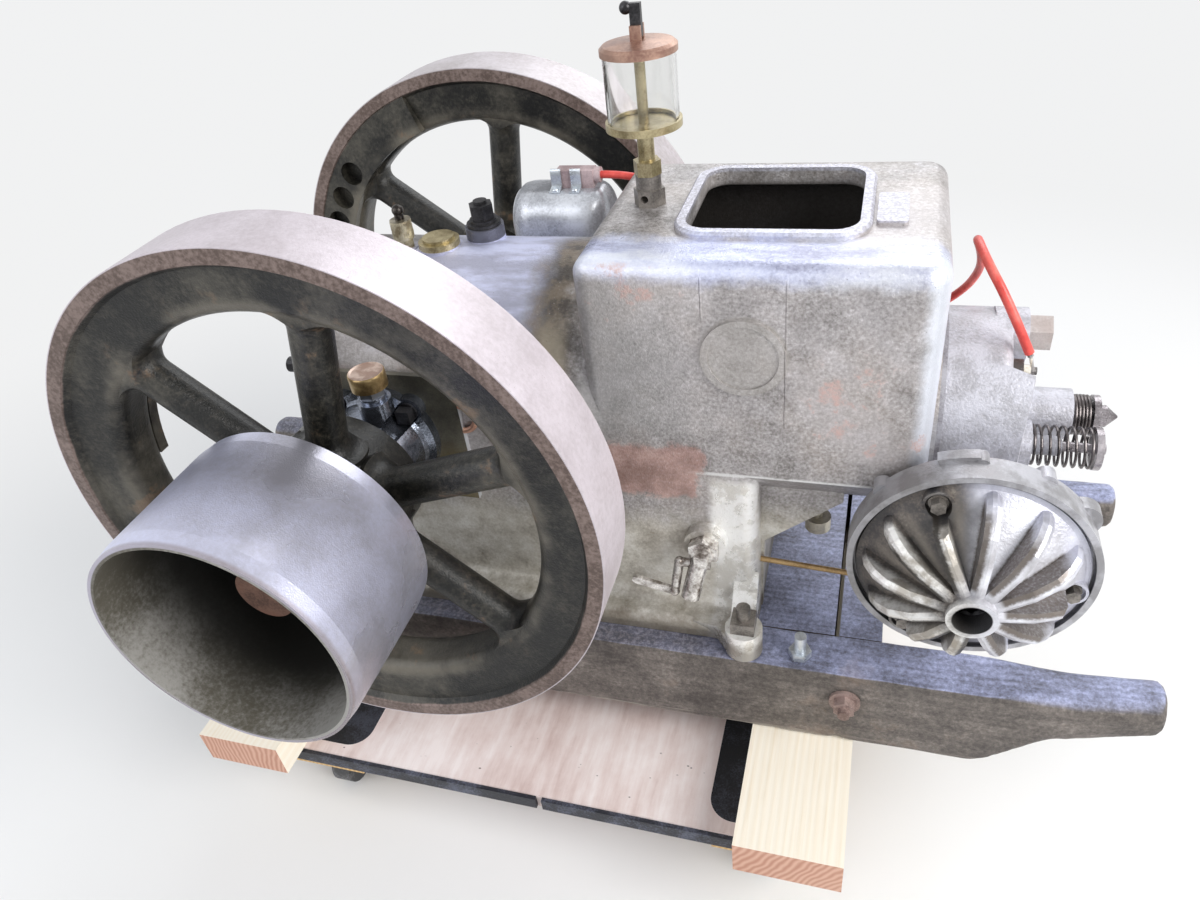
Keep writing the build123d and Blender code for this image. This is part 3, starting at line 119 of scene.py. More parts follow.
def seen_directly(tree):
    """1 for what the camera, a mirror or a glass sees: the largest of three ray flags."""
    path = tree.nodes.new("ShaderNodeLightPath")
    flag = path.outputs["Is Camera Ray"]
    for name in ("Is Glossy Ray", "Is Transmission Ray"):
        larger = tree.nodes.new("ShaderNodeMath")
        larger.operation = "MAXIMUM"
        tree.links.new(flag, larger.inputs[0])
        tree.links.new(path.outputs[name], larger.inputs[1])
        flag = larger.outputs[0]
    return flag


ROOM_LIGHT = ((0.95, 0.97, 1.0, 1.0), 0.46)
ROOM_AS_SEEN = ((0.93, 0.94, 0.95, 1.0), 1.0)
world = bpy.data.worlds.new("pale_room")
world.use_nodes = True
room = world.node_tree
room.nodes.clear()
choose = room.nodes.new("ShaderNodeMixShader")
room.links.new(seen_directly(room), choose.inputs[0])
for socket, (colour, strength) in zip(choose.inputs[1:], (ROOM_LIGHT, ROOM_AS_SEEN)):
    background = room.nodes.new("ShaderNodeBackground")
    background.inputs["Color"].default_value = colour
    background.inputs["Strength"].default_value = strength
    room.links.new(background.outputs[0], socket)
room.links.new(choose.outputs[0], room.nodes.new("ShaderNodeOutputWorld").inputs["Surface"])
scene.world = world

# %% [markdown]
# A finish is a tree of nodes. Wired by hand it is slow to write and hard to read, so two
# small classes let Python do it. `Field` is one output of the tree, and + - * ** on it
# add Math nodes. `Finish` is the material: one method adds any node, and a few short
# ones add those that come up again and again. Colours are written as they look on a
# screen, 0 to 255, and `ink` turns them into the linear values that shaders use. Each
# solid wears its finish at once, and a new piece later takes over that of a solid.
# %% Fields and finishes
FULL_TURN = 6.2832
undressed = set(nodes)


def ink(shade):
    """A screen colour as linear light: about the power 2.4 of each channel."""
    value = np.array(shade) / 255.0
    linear = np.where(value < 0.04045, value / 12.92, ((value + 0.055) / 1.055) ** 2.4)
    return tuple(float(v) for v in linear)


class Field:
    """One output of a finish's node tree, with arithmetic."""

    def __init__(self, finish, socket):
        self.finish, self.socket = finish, socket

    def maths(self, operation, first, second):
        """A Math node on two fields or numbers."""
        return self.finish.node("Math", {0: first, 1: second}, operation=operation)

    def __add__(self, other):
        return self.maths("ADD", self, other)

    def __sub__(self, other):
        return self.maths("SUBTRACT", self, other)

    def __rsub__(self, other):
        return self.maths("SUBTRACT", other, self)

    def __mul__(self, other):
        return self.maths("MULTIPLY", self, other)

    def __pow__(self, other):
        return self.maths("POWER", self, other)

    def __abs__(self):
        return self.maths("ABSOLUTE", self, 0.0)

    __radd__, __rmul__ = __add__, __mul__


class Finish:
    """A material under construction: its shader, and short ways to add nodes."""

    def __init__(self, name):
        self.colour = None
        self.material = bpy.data.materials.new(name)
        self.material.use_nodes = True
        self.tree = self.material.node_tree
        self.tree.nodes.clear()
        self.shader = self.tree.nodes.new("ShaderNodeBsdfPrincipled")
        output = self.tree.nodes.new("ShaderNodeOutputMaterial")
        self.tree.links.new(self.shader.outputs[0], output.inputs["Surface"])
        self.place = self.node("TexCoord", out="Object")

    def put(self, socket, value):
        """Links a field to a socket, or writes a plain value on it."""
        if isinstance(value, Field):
            self.tree.links.new(value.socket, socket)
        elif socket.type == "RGBA":
            socket.default_value = (*ink(value), 1.0)
        else:
            socket.default_value = value

    def node(self, kind, inputs=None, out=0, stops=None, **settings):
        """Any node: its settings first, then its sockets, and one output as a field."""
        made = self.tree.nodes.new("ShaderNode" + kind)
        for name, value in settings.items():
            setattr(made, name, value)
        if stops:
            ramp = made.color_ramp.elements
            while len(ramp) < len(stops):
                ramp.new(1.0)
            for element, (where, *shade) in zip(ramp, stops):
                element.position = where
                element.color = (*ink(shade), 1.0)
        for key, value in (inputs or {}).items():
            self.put(made.inputs[key], value)
        return Field(self, made.outputs[out])

    def axes(self):
        """The X, Y and Z of the place, in metres."""
        split = self.node("SeparateXYZ", {0: self.place}).socket.node
        return [Field(self, socket) for socket in split.outputs]

    def stretch(self, x, y, z):
        """The place multiplied on each axis, for a pattern that runs one way."""
        return self.node("VectorMath", {0: self.place, 1: (x, y, z)}, operation="MULTIPLY")

    def facing(self, axis):
        """How far the surface faces along an axis of its piece, -1 to 1."""
        return self.node("SeparateXYZ", {0: self.node("TexCoord", out="Normal")}, out=axis)

    def reach(self, middle):
        """Distance from the line along Y through middle: the root of dx squared + dz squared."""
        x, _, z = self.axes()
        return ((x - middle[0]) ** 2.0 + (z - middle[2]) ** 2.0) ** 0.5

    def noise(self, scale, detail=4.0, rough=0.55, warp=0.0, where=None):
        """Cloudy values around a half."""
        sockets = {"Vector": where or self.place, "Scale": scale, "Detail": detail}
        return self.node("TexNoise", {**sockets, "Roughness": rough, "Distortion": warp})

    def cells(self, scale, where=None):
        """Distance to the nearest of many scattered points."""
        return self.node("TexVoronoi", {"Vector": where or self.place, "Scale": scale})

    def step(self, value, low, high):
        """0 at low and 1 at high, with a soft step; low may be the larger."""
        sockets = {0: value, 1: low, 2: high, 3: 0.0, 4: 1.0}
        return self.node("MapRange", sockets, interpolation_type="SMOOTHSTEP")

    def inside(self, value, low, high, soft=0.004):
        """1 from low to high, falling to 0 over a soft edge on either side."""
        rise = self.step(value, low - soft, low + soft)
        return rise * self.step(value, high + soft, high - soft)

    def shades(self, value, *stops):
        """A colour ramp; each stop is a value and its red, green and blue."""
        return self.node("ValToRGB", {0: value}, stops=stops)

    def mix(self, first, second, share):
        """Colour first, going over to second where share is 1."""
        return self.node("Mix", {0: share, 6: first, 7: second}, out=2, data_type="RGBA")

    def lay(self, colour, share):
        """Lays a colour over the finish so far, as far as share says."""
        self.colour = self.mix(self.colour, colour, share)

    def far_from(self, point):
        """Distance from a point, in metres."""
        return self.node("VectorMath", {0: self.place, 1: tuple(point)}, out=1, operation="DISTANCE")

    def set(self, rough, metal=0.0, height=None, depth=0.0005, strength=0.7, **fixed):
        """Fills the shader's sockets; height is a relief of up to depth metres."""
        self.put(self.shader.inputs["Base Color"], self.colour)
        self.put(self.shader.inputs["Roughness"], rough)
        self.put(self.shader.inputs["Metallic"], metal)
        for name, value in fixed.items():
            self.put(self.shader.inputs[name.replace("_", " ")], value)
        if height is not None:
            relief = self.node("Bump", {"Height": height, "Strength": strength, "Distance": depth})
            self.put(self.shader.inputs["Normal"], relief)
        print("finish", self.material.name, len(self.tree.nodes), "nodes")
        return self.material


def wear(material, *names):
    """Gives a finish to solids, by name."""
    for name in names:
        for place in nodes[name].material_slots:
            place.material = material
        undressed.discard(name)


def each_castor(start):
    """The names of the four castors' solids that begin alike."""
    return [start + side + "_" + depth for side in ("left", "right") for depth in ("near", "far")]


# %% [markdown]
# The crankcase and hopper are one casting whose paint has been rubbed off. Grey-brown
# iron shows, mottled at the size of a hand and again at the size of a coin, with a fine
# sandy grain, on which lie painted glints. The near top edge is worn bright with a painted
# bluish sheen, and the roof, the lip and the crankcase's round top carry painted sheen
# too. A pillar, the right corner and a line at the skirt carry painted highlights, and the
# inside of the hopper is near-black: rust, and painted shade. Patches of red paint are
# left low on the hopper and near its top, the foot is khaki with oil and dust and darker
# brown towards the bottom, and two fine ridges run down the side where the mould's halves
# met. Each is a mask made from the place on the casting, with its edge broken up by noise.
# %% Bare casting


def bare_casting():
    """Iron first, then one mask after another, each laid over those before it."""
    f = Finish("bare_casting")
    x, y, z = f.axes()
    hand = f.noise(9.0, 5.0, 0.6)
    coin = f.noise(46.0, 7.0, 0.66)
    grit = f.noise(380.0, 4.0, 0.72)
    drift = f.noise(5.0, 3.0, 0.55, 0.6)
    sand = f.noise(620.0, 3.0, 0.6)
    smear = f.noise(34.0, 6.0, 0.62, where=f.stretch(0.32, 1.0, 1.0))

    def ragged(place, by):
        """A place moved to and fro by the coin noise, so that a mask's edge is broken."""
        return place + (coin - 0.5) * by

    tone = hand * 0.4 + coin * 0.22 + grit * 0.38
    f.colour = f.shades(
        tone, (0.38, 104, 101, 98), (0.45, 146, 142, 141), (0.52, 178, 174, 175), (0.61, 224, 222, 225)
    )
    f.lay((146, 130, 112), f.step(hand, 0.42, 0.6) * 0.3)
    f.lay((122, 119, 112), f.step(drift, 0.5, 0.36) * 0.4)
    f.lay((206, 202, 206), f.step(drift, 0.52, 0.64) * 0.35)
    # The hopper's roof is pale and bluish: some wear, and a painted sheen on the top face.
    roof_wear_and_sheen = f.step(ragged(z, 0.012), 0.566, 0.578) * f.step(x, -0.006, 0.006)
    pale = smear * 0.7 + grit * 0.3
    pale = f.shades(pale, (0.36, 156, 155, 160), (0.52, 198, 200, 207), (0.66, 226, 230, 243))
    f.lay(pale, roof_wear_and_sheen * 0.8)
    # The crankcase is khaki low down, with painted highlights on a pillar and in a line at its skirt.
    low = f.step(ragged(z, 0.04), 0.352, 0.312)
    khaki = coin * 0.5 + grit * 0.2 + hand * 0.3
    khaki = f.shades(khaki, (0.38, 158, 150, 137), (0.5, 208, 203, 191), (0.62, 240, 238, 231))
    f.lay(khaki, low * 0.85)
    pillar_highlight = f.inside(ragged(x, 0.008), 0.127, 0.170) * f.step(ragged(z, 0.02), 0.386, 0.372)
    pillar_highlight = pillar_highlight * f.step(y, -0.045, -0.055)
    rubbed = f.mix((212, 209, 203), (245, 245, 244), f.step(coin, 0.4, 0.58))
    f.lay(rubbed, pillar_highlight * 0.85)
    skirt_highlight = f.inside(z, 0.3842, 0.3872, 0.0008) * f.step(y, -0.045, -0.05)
    skirt_highlight = skirt_highlight * f.step(x, 0.10, 0.125) * f.step(coin, 0.36, 0.5)
    f.lay((226, 226, 226), skirt_highlight * 0.8)
    # Painted sheen: the lip round the hopper's mouth is tinted lilac, and so is the crankcase's round
    # top.
    lip = f.step(z, 0.5683, 0.5700) * f.step(x, 0.0, 0.02)
    lilac_sheen = f.mix((168, 166, 176), (206, 206, 220), f.step(grit, 0.4, 0.6))
    f.lay(lilac_sheen, lip * 0.8)
    crown = f.inside(x + (hand - 0.5) * 0.08, -0.15, -0.015, 0.02) * f.step(z, 0.47, 0.505)
    lilac_sheen = f.mix((168, 169, 190), (216, 220, 248), f.step(smear, 0.40, 0.62))
    f.lay(lilac_sheen, crown * 0.88)
    # The breather stands in a dark ring, and oil has run down beside the hopper.
    collar = f.step(f.far_from(at(66, 22, 132)), 0.023, 0.021) * f.step(z, 0.5303, 0.5312)
    f.lay((58, 58, 62), collar * 0.85)
    streak = f.inside(ragged(x, 0.05), -0.016, 0.018, 0.014)
    streak = streak * f.step(z, 0.57, 0.53) * f.step(y, 0.09, 0.05)
    oily = f.mix((58, 50, 42), (120, 106, 88), f.step(coin, 0.42, 0.58))
    f.lay(oily, streak * 0.85)
    # The hopper's near top edge is worn bright with a painted bluish sheen, its right corner is a
    # painted highlight, and the dusty one at its left is tan.
    edge = f.step(ragged(z, 0.022), 0.548, 0.562) * f.step(ragged(y, 0.04), -0.004, -0.026)
    edge = edge * f.step(x, -0.004, 0.012)
    worn = smear * 0.8 + grit * 0.2
    worn = f.shades(worn, (0.38, 150, 154, 184), (0.48, 196, 202, 230), (0.62, 232, 237, 251))
    f.lay(worn, edge * (0.9 - f.step(x, 0.12, 0.26) * 0.3))
    corner = f.step(ragged(x, 0.012), 0.272, 0.284) * f.step(z, 0.378, 0.396)
    corner = corner * f.step(ragged(y, 0.02), -0.022, -0.044)
    f.lay((222, 227, 238), corner * 0.8)
    corner = f.step(ragged(x, 0.01), 0.018, 0.006) * f.step(x, -0.016, -0.004)
    corner = corner * f.step(z, 0.40, 0.44) * f.step(y, -0.02, -0.04)
    f.lay((176, 166, 148), corner * 0.7)
    # The near side is dusty at its left, and red paint is left low on it and in spots.
    side = f.step(y, -0.05, -0.056)
    dusted = side * f.step(x + (hand - 0.5) * 0.08, 0.17, 0.05) * f.step(z, 0.40, 0.44)
    f.lay((232, 230, 230), dusted * 0.34)
    patch = f.step(ragged(x, 0.03) + (hand - 0.5) * 0.05, 0.130, 0.112) * f.step(x, -0.03, 0.0)
    patch = patch * f.inside(ragged(z, 0.02) + (hand - 0.5) * 0.03, 0.358, 0.410, 0.010)
    spots = f.step(hand, 0.48, 0.58) * f.step(coin, 0.42, 0.58) * f.step(z, 0.40, 0.42)
    red = side * f.step(patch * 1.2 + spots * 0.75 + (grit - 0.5) * 1.3, 0.42, 0.95)
    paint = f.shades(coin, (0.4, 152, 110, 98), (0.6, 194, 150, 138))
    f.lay(paint, red * 0.68)
    # Painted glints lie all over, with dark pores, and the foot is darker brown towards the bottom.
    glint = f.step(f.cells(430.0), 0.2, 0.08) * f.step(grit, 0.5, 0.62)
    f.lay((214, 212, 210), glint * 0.5)
    pores = f.step(f.cells(340.0), 0.16, 0.05) * f.step(coin, 0.5, 0.6)
    f.lay((70, 60, 50), pores * 0.6)
    f.lay((98, 88, 74), f.step(ragged(z, 0.02), 0.243, 0.228) * 0.7)
    # The inside of the hopper is near-black: rust, and painted shade in the hollow.
    hollow_shade = f.inside(x, 0.036, 0.285) * f.inside(y, -0.052, 0.141) * f.inside(z, 0.392, 0.560)
    f.lay((30, 24, 20), hollow_shade)
    # Two seams of the mould run down the near side, and its raised disc is paler.
    seam = 0.0
    for place, low_end, top in ((0.1262, 0.528, 0.558), (0.1858, 0.438, 0.556)):
        line = f.step(abs(x + (hand - 0.5) * 0.004 - place), 0.0010, 0.0002)
        seam = line * f.inside(z, low_end, top, 0.008) * side + seam
    disc = f.step(f.far_from(at(310, -103, 92)), 0.034, 0.032)
    f.lay((172, 168, 162), disc * 0.4)
    height = sand * 0.5 + grit * 0.5 + coin * 0.35 - pores * 0.5 + seam * 0.9 + red * 0.1
    rough = 0.4 + (coin - 0.5) * 0.4 + hollow_shade * 0.4 - edge * 0.08 - pillar_highlight * 0.12
    shine = 0.42 - red * 0.3 - low * 0.1 - hollow_shade * 0.4
    return f.set(rough, shine, height, 0.0009, 0.75)


wear(bare_casting(), "engine_block")

# %% [markdown]
# The other metals differ in tone, grain and how much brown has crept over them, so one
# function makes them all: two tones mixed by cloudy noise, brown stains where a slower
# noise is high, and a grain as coarse as the real surface.
# %% Plain metals


def metal(name, dark, light, stain, amount, rough, shine, grain=600.0, depth=0.0003, mottle=40.0):
    """A metal from dark to light, with a share of stain, a mean roughness and a grain."""
    f = Finish(name)
    cloud = f.noise(mottle, 6.0, 0.62)
    slow = f.noise(mottle * 0.4, 4.0, 0.6)
    fine = f.noise(grain, 3.0, 0.6)
    f.colour = f.mix(dark, light, f.step(cloud * 0.7 + fine * 0.3, 0.36, 0.62))
    brown = f.step(slow * 0.6 + cloud * 0.4, 0.62 - amount * 0.25, 0.72 - amount * 0.2)
    f.lay(stain, brown * min(1.0, amount * 1.6))
    rough = rough + (cloud - 0.5) * 0.35 + brown * 0.15
    return f.set(rough, shine - brown * 0.3, fine * 0.7 + cloud * 0.5, depth)


# Name, dark and light tone, stain; its share, roughness, metallic, then grain, depth and
# mottle where they differ from the usual; and the solids.
METALS = (
    ("sandy_head_iron", (170, 169, 175), (200, 200, 209), (166, 160, 156),
     (0.1, 0.46, 0.3, 480.0, 0.0011, 60.0), "cylinder_head"),
    ("oily_iron", (84, 89, 98), (156, 162, 176), (60, 58, 58),
     (0.2, 0.17, 0.85, 420.0, 0.0005, 22.0), "main_bearings"),
    ("spring_steel", (70, 66, 66), (124, 118, 118), (86, 66, 54), (0.3, 0.3, 0.85), "valve_springs"),
    ("valve_steel", (112, 106, 108), (184, 178, 182), (100, 82, 70), (0.25, 0.28, 0.8), "valves"),
    ("dull_steel", (92, 88, 84), (150, 144, 138), (98, 76, 60),
     (0.3, 0.4, 0.65), "oiler_stand", "foot_nuts", "silencer_bolts"),
    ("pale_plug_iron", (176, 168, 165), (212, 205, 203), (126, 104, 94), (0.25, 0.5, 0.35), "head_plug"),
    ("blackened_steel", (30, 30, 32), (74, 73, 76), (62, 52, 44),
     (0.25, 0.38, 0.6), "bearing_screws", "breather_nut", "side_knob", "oiler_toggle"),
    ("rusty_shaft_iron", (76, 52, 42), (124, 92, 78), (96, 56, 38), (0.4, 0.55, 0.4), "crankshaft"),
    ("rusty_steel", (112, 92, 86), (166, 146, 140), (104, 72, 58), (0.4, 0.55, 0.4), "tie_bolts"),
    ("zinc_plate", (178, 184, 190), (220, 226, 232), (150, 146, 140),
     (0.1, 0.3, 0.75), "loose_bolt", "castor_plates", *each_castor("castor_fork_")),
    ("old_brass", (136, 122, 88), (190, 178, 142), (96, 82, 60),
     (0.25, 0.33, 0.7, 700.0, 0.0002), "oiler_base", "filler_cap"),
    ("dull_brass", (128, 122, 110), (196, 190, 176), (104, 94, 78), (0.3, 0.3, 0.7), "hopper_drain"),
    ("pinkish_cap_brass", (138, 104, 92), (186, 152, 134), (96, 64, 52),
     (0.3, 0.36, 0.6, 500.0), "oiler_cap"),
    ("dull_copper", (176, 122, 100), (222, 176, 152), (110, 78, 60), (0.25, 0.36, 0.7), "oil_pipe"),
    ("brown_brass_rod", (132, 104, 66), (184, 154, 110), (96, 72, 48), (0.3, 0.42, 0.6), "control_rod"),
    ("gasket_edge", (120, 116, 122), (176, 176, 184), (90, 84, 80), (0.3, 0.6, 0.2), "head_gasket"),
    ("grey_magneto_alloy", (166, 168, 174), (222, 225, 232), (156, 144, 134),
     (0.2, 0.3, 0.45, 480.0, 0.0003, 22.0), "magneto_body"),
    ("cock_steel", (118, 108, 100), (236, 233, 229), (58, 50, 44),
     (0.4, 0.22, 0.7, 500.0, 0.0003, 90.0), "drain_cock_body", "drain_cock_key"),
    ("pinkish_moulding", (152, 132, 134), (196, 176, 178), (120, 100, 98),
     (0.25, 0.5, 0.0), "magneto_tower"),
)
for name, dark, light, stain, values, *names in METALS:
    wear(metal(name, dark, light, stain, *values), *names)


def plate_finish():
    """Flat plate: olive-brown and oily low down, with a painted highlight on its sawn right edge."""
    f = Finish("flat_plate_iron")
    x, _, z = f.axes()
    cloud = f.noise(24.0, 6.0, 0.62)
    fine = f.noise(600.0, 3.0, 0.6)
    tone = cloud * 0.8 + fine * 0.2
    f.colour = f.shades(tone, (0.36, 84, 82, 74), (0.5, 112, 108, 96), (0.64, 140, 136, 124))
    f.lay((132, 116, 76), f.step(z + (cloud - 0.5) * 0.05, 0.405, 0.375) * 0.5)
    # Painted highlight: the sawn edge towards the head is near-white.
    sawn = f.step(x, CRANK[0] + 0.0725, CRANK[0] + 0.0728)
    f.lay((224, 226, 232), sawn * 0.85)
    return f.set(0.4 + (cloud - 0.5) * 0.3, 0.5, fine + cloud * 0.4, 0.0003)


def cup_finish():
    """Brass with a dull pinkish top, and the steel neck below the lid."""
    f = Finish("oil_cup_brass")
    z = f.axes()[2]
    cloud = f.noise(60.0, 5.0, 0.6)
    sides = f.shades(cloud, (0.38, 122, 100, 66), (0.52, 176, 150, 104), (0.66, 212, 190, 146))
    top = f.mix((166, 138, 124), (208, 186, 172), f.step(cloud, 0.42, 0.6))
    f.colour = f.mix(sides, top, f.step(f.facing(2), 0.7, 0.9))
    neck = f.step(z, CRANK[2] + 0.0661, CRANK[2] + 0.0659)
    f.lay(f.mix((84, 86, 90), (140, 142, 148), cloud), neck)
    return f.set(0.36 + (cloud - 0.5) * 0.3, 0.65, cloud, 0.0002)


def tap_finish():
    """Dull brass up to the collar, and a dark steel ball and handle above it."""
    f = Finish("tap_brass_and_steel")
    z = f.axes()[2]
    cloud = f.noise(90.0, 5.0, 0.6)
    f.colour = f.mix((140, 128, 104), (204, 196, 172), f.step(cloud, 0.4, 0.62))
    dark = f.step(z, CRANK[2] + 0.1515, CRANK[2] + 0.1525)
    f.lay(f.mix((40, 36, 34), (96, 90, 86), f.step(cloud, 0.44, 0.62)), dark)
    return f.set(0.32 + (cloud - 0.5) * 0.25, 0.7, cloud, 0.0002)


wear(plate_finish(), "bearing_plates")
wear(cup_finish(), "oil_cups")
wear(tap_finish(), "priming_tap")

# %% [markdown]
# A flywheel is turned bright on its rim and painted everywhere else. The distance from
# the crank axis tells the two apart, with one hard edge at the machined ring. The paint
# is nearly black green, dusty in the hollows, with a painted highlight along the bead
# inside the rim, and rubbed to rusty iron on the spokes.
# %% Flywheel


def wheel_finish(name, rim_dark, rim_light):
    """Dark paint, a worn ring and a bright rim, by distance from the crank axis."""
    f = Finish(name)
    reach = f.reach(CRANK)
    cloud = f.noise(34.0, 6.0, 0.62)
    slow = f.noise(10.0, 4.0, 0.6)
    grit = f.noise(260.0, 4.0, 0.68)
    fine = f.noise(620.0, 3.0, 0.6)
    paint = f.shades(cloud * 0.5 + grit * 0.5, (0.38, 9, 9, 9), (0.5, 22, 22, 20), (0.64, 54, 51, 46))
    # Painted highlight: a pale band along the bead inside the rim.
    bead_highlight = f.inside(reach, 0.176, 0.187, 0.006)
    paint = f.mix(paint, (124, 118, 106), bead_highlight * f.step(slow, 0.40, 0.58) * 0.6)
    dust = f.step(slow * 0.85 + grit * 0.15, 0.46, 0.66)
    paint = f.mix(paint, (124, 119, 107), dust * 0.36)
    worn = f.step(slow * 0.4 + cloud * 0.6, 0.56, 0.62) * f.step(reach, 0.205, 0.18)
    paint = f.mix(paint, f.mix((100, 76, 58), (142, 118, 94), grit), worn * 0.6)
    bare = f.step(reach + (cloud - 0.5) * 0.002, 0.2166, 0.2176)
    tread = f.step(reach, 0.2288, 0.2295)
    ring = f.mix((92, 78, 72), (132, 116, 110), f.step(grit * 0.6 + cloud * 0.4, 0.4, 0.62))
    rim = f.mix(rim_dark, rim_light, f.step(slow * 0.5 + cloud * 0.2 + grit * 0.3, 0.34, 0.64))
    pits = f.step(f.cells(420.0), 0.16, 0.06) * f.step(cloud, 0.5, 0.6)
    rim = f.mix(rim, (112, 92, 86), pits * 0.5)
    f.colour = f.mix(paint, f.mix(ring, rim, tread), bare)
    height = fine * (0.9 - bare * 0.5) + grit * 0.4 + cloud * 0.3 - pits * bare * 0.5
    rough = 0.36 + (cloud - 0.5) * 0.3 + bare * 0.08
    return f.set(rough, bare * 0.3, height, 0.0007, Specular_IOR_Level=0.38)


wear(wheel_finish("near_wheel_paint", (186, 177, 182), (214, 206, 213)), "near_flywheel")
wear(wheel_finish("far_wheel_paint", (166, 158, 158), (204, 198, 203)), "far_flywheel")

# %% [markdown]
# The belt pulley has lost its polish: outside grey iron, lightened and tinted lilac as a
# painted sheen, a brown worn line at its front edge, inside dusty brown, painted near-black
# towards the back as shade, and rust on its hub. Again the distance from the crank axis
# and the depth along it say which is which.
# %% Pulley


def pulley_finish():
    """The belt face, the inside and the hub, by distance from the crank axis."""
    f = Finish("pulley_iron")
    y = f.axes()[1]
    reach = f.reach(CRANK)
    cloud = f.noise(7.0, 4.0, 0.55)
    grit = f.noise(300.0, 4.0, 0.66)
    fine = f.noise(900.0, 3.0, 0.6)
    tone = cloud * 0.85 + grit * 0.15
    # Painted sheen: the outside is lightened and tinted lilac.
    outer = f.shades(tone, (0.38, 168, 167, 178), (0.5, 198, 199, 219), (0.62, 218, 221, 246))
    specks = f.step(f.cells(150.0), 0.1, 0.05) * f.step(grit, 0.5, 0.6)
    outer = f.mix(outer, (190, 186, 184), specks * 0.5)
    lip = f.step(y, -0.3085, -0.3118)
    outer = f.mix(outer, (134, 116, 108), lip * 0.5)
    # Painted shade: the inside goes near-black towards the back.
    deep = f.step(y + (cloud - 0.5) * 0.05, -0.302, -0.24)
    inner = f.mix((150, 148, 144), (88, 84, 74), f.step(grit * 0.3 + cloud * 0.7, 0.4, 0.6))
    inner = f.mix(inner, (14, 13, 11), deep * 0.95)
    hub = f.step(reach, 0.040, 0.037)
    inner = f.mix(inner, f.mix((72, 42, 32), (116, 72, 54), grit), hub)
    outside = f.step(reach, 0.0935, 0.0945)
    f.colour = f.mix(inner, outer, outside)
    rough = 0.29 + (cloud - 0.5) * 0.2 + (1.0 - outside) * 0.3
    return f.set(rough, outside * 0.68, fine * 0.7 + grit * 0.3, 0.0003)


wear(pulley_finish(), "belt_pulley")

# %% [markdown]
# The silencer is a pale casting that has been warm for years. Soot and oil, with painted
# shade, darken the left of the cover, where the rib crests carry a painted highlight. Each
# rib has one flank painted dark as shade, the groove round the cover is painted almost
# black as shade, and the outer ring stays bright but for soot and painted shade at its
# left. The distance from the silencer's axis gives the rings, the turn about it the flanks,
# and the place along X the soot and shade. The ribs are 30 degrees apart, and the first
# is 5 degrees below the X direction.
# %% Silencer
RIBS = 12
FIRST_RIB = 5 / 30


def silencer_finish():
    """Rings by distance from the silencer's axis, ribs by turn, soot and painted shade by place along X.
    """
    f = Finish("silencer_casting")
    x, y, z = f.axes()
    middle = at(480, 0, -61.5)
    reach = f.reach(middle)
    cloud = f.noise(38.0, 7.0, 0.66)
    slow = f.noise(14.0, 4.0, 0.6)
    sand = f.noise(480.0, 3.0, 0.6)
    pale = f.shades(cloud, (0.36, 176, 175, 180), (0.52, 208, 208, 215), (0.66, 228, 230, 238))
    tone = cloud * 0.7 + sand * 0.3
    # Soot with painted shade: the left of the cover goes dark brown.
    soot_and_shade_stops = (0.36, 20, 17, 14), (0.48, 46, 40, 34), (0.58, 84, 75, 65), (0.7, 130, 121, 108)
    soot_and_shade = f.shades(tone, *soot_and_shade_stops)
    cover = f.step(reach, 0.0820, 0.0814)
    # What stands 5 to 14 mm out of the cone between the ribs is a rib's crest, painted as a highlight on
    # the dark side.
    cone = (reach - 0.0175) * 0.672 + (CRANK[1] - 0.174)
    lit_crest = f.step(cone - y + (sand - 0.5) * 0.004, 0.005, 0.014)
    lean = (z - middle[2]) * 0.12 + (slow - 0.5) * 0.03
    side = f.step(x + lean, middle[0] + 0.016, middle[0] - 0.010)
    broken = reach + (cloud - 0.5) * 0.02
    face = f.mix(pale, (184, 186, 208), f.step(broken, 0.062, 0.078) * 0.4)
    bright = f.mix((176, 170, 160), (240, 239, 236), f.step(cloud, 0.42, 0.58))
    face = f.mix(face, f.mix(soot_and_shade, bright, lit_crest * 0.85), side * 0.94)
    # Where a point lies between two ribs, 0 to 1, and how far past the first, in metres.
    turn = f.node("Math", {0: z - middle[2], 1: x - middle[0]}, operation="ARCTAN2")
    part = f.node("Math", {0: turn * (RIBS / FULL_TURN) + (RIBS + FIRST_RIB)}, operation="FRACT")
    past = part * reach * (FULL_TURN / RIBS)
    # Painted shade: one flank of each rib is darkened.
    flank_shade = f.inside(past + (sand - 0.5) * 0.003, 0.0012, 0.0060, 0.0014)
    flank_shade = flank_shade * f.step(reach, 0.020, 0.024) * f.step(broken, 0.074, 0.062)
    face = f.mix(face, f.mix((90, 80, 70), (34, 29, 24), side), flank_shade * 0.9)
    dusty = f.inside(part, 0.52, 0.72, 0.16) * f.inside(reach, 0.03, 0.066, 0.016) * side
    face = f.mix(face, (172, 162, 148), dusty * 0.45)
    ring = f.mix((150, 149, 152), (188, 188, 194), f.step(cloud, 0.4, 0.6))
    # Soot and painted shade darken the ring's left.
    left_soot_and_shade = f.step(x + (slow - 0.5) * 0.08, middle[0] + 0.02, middle[0] - 0.05)
    ring = f.mix(ring, (102, 98, 93), left_soot_and_shade * 0.4)
    dull = side * (1.0 - lit_crest) * cover
    f.colour = f.mix(ring, face, cover)
    # Painted shade: the groove round the cover is nearly black.
    groove_shade = f.inside(reach, 0.0808, 0.0832, 0.0004) * f.step(y, -0.086, -0.089)
    f.lay((30, 30, 36), groove_shade * 0.8)
    hole = f.step(reach, 0.0140, 0.0130)
    f.lay((18, 16, 15), hole)
    rough = 0.4 + (cloud - 0.5) * 0.4 + dull * 0.2
    shine = (0.5 - hole * 0.5) * (1.0 - dull * 0.8)
    return f.set(rough, shine, sand * 0.7 + cloud * 0.5, 0.0008)


wear(silencer_finish(), "silencer_back", "silencer_cover")

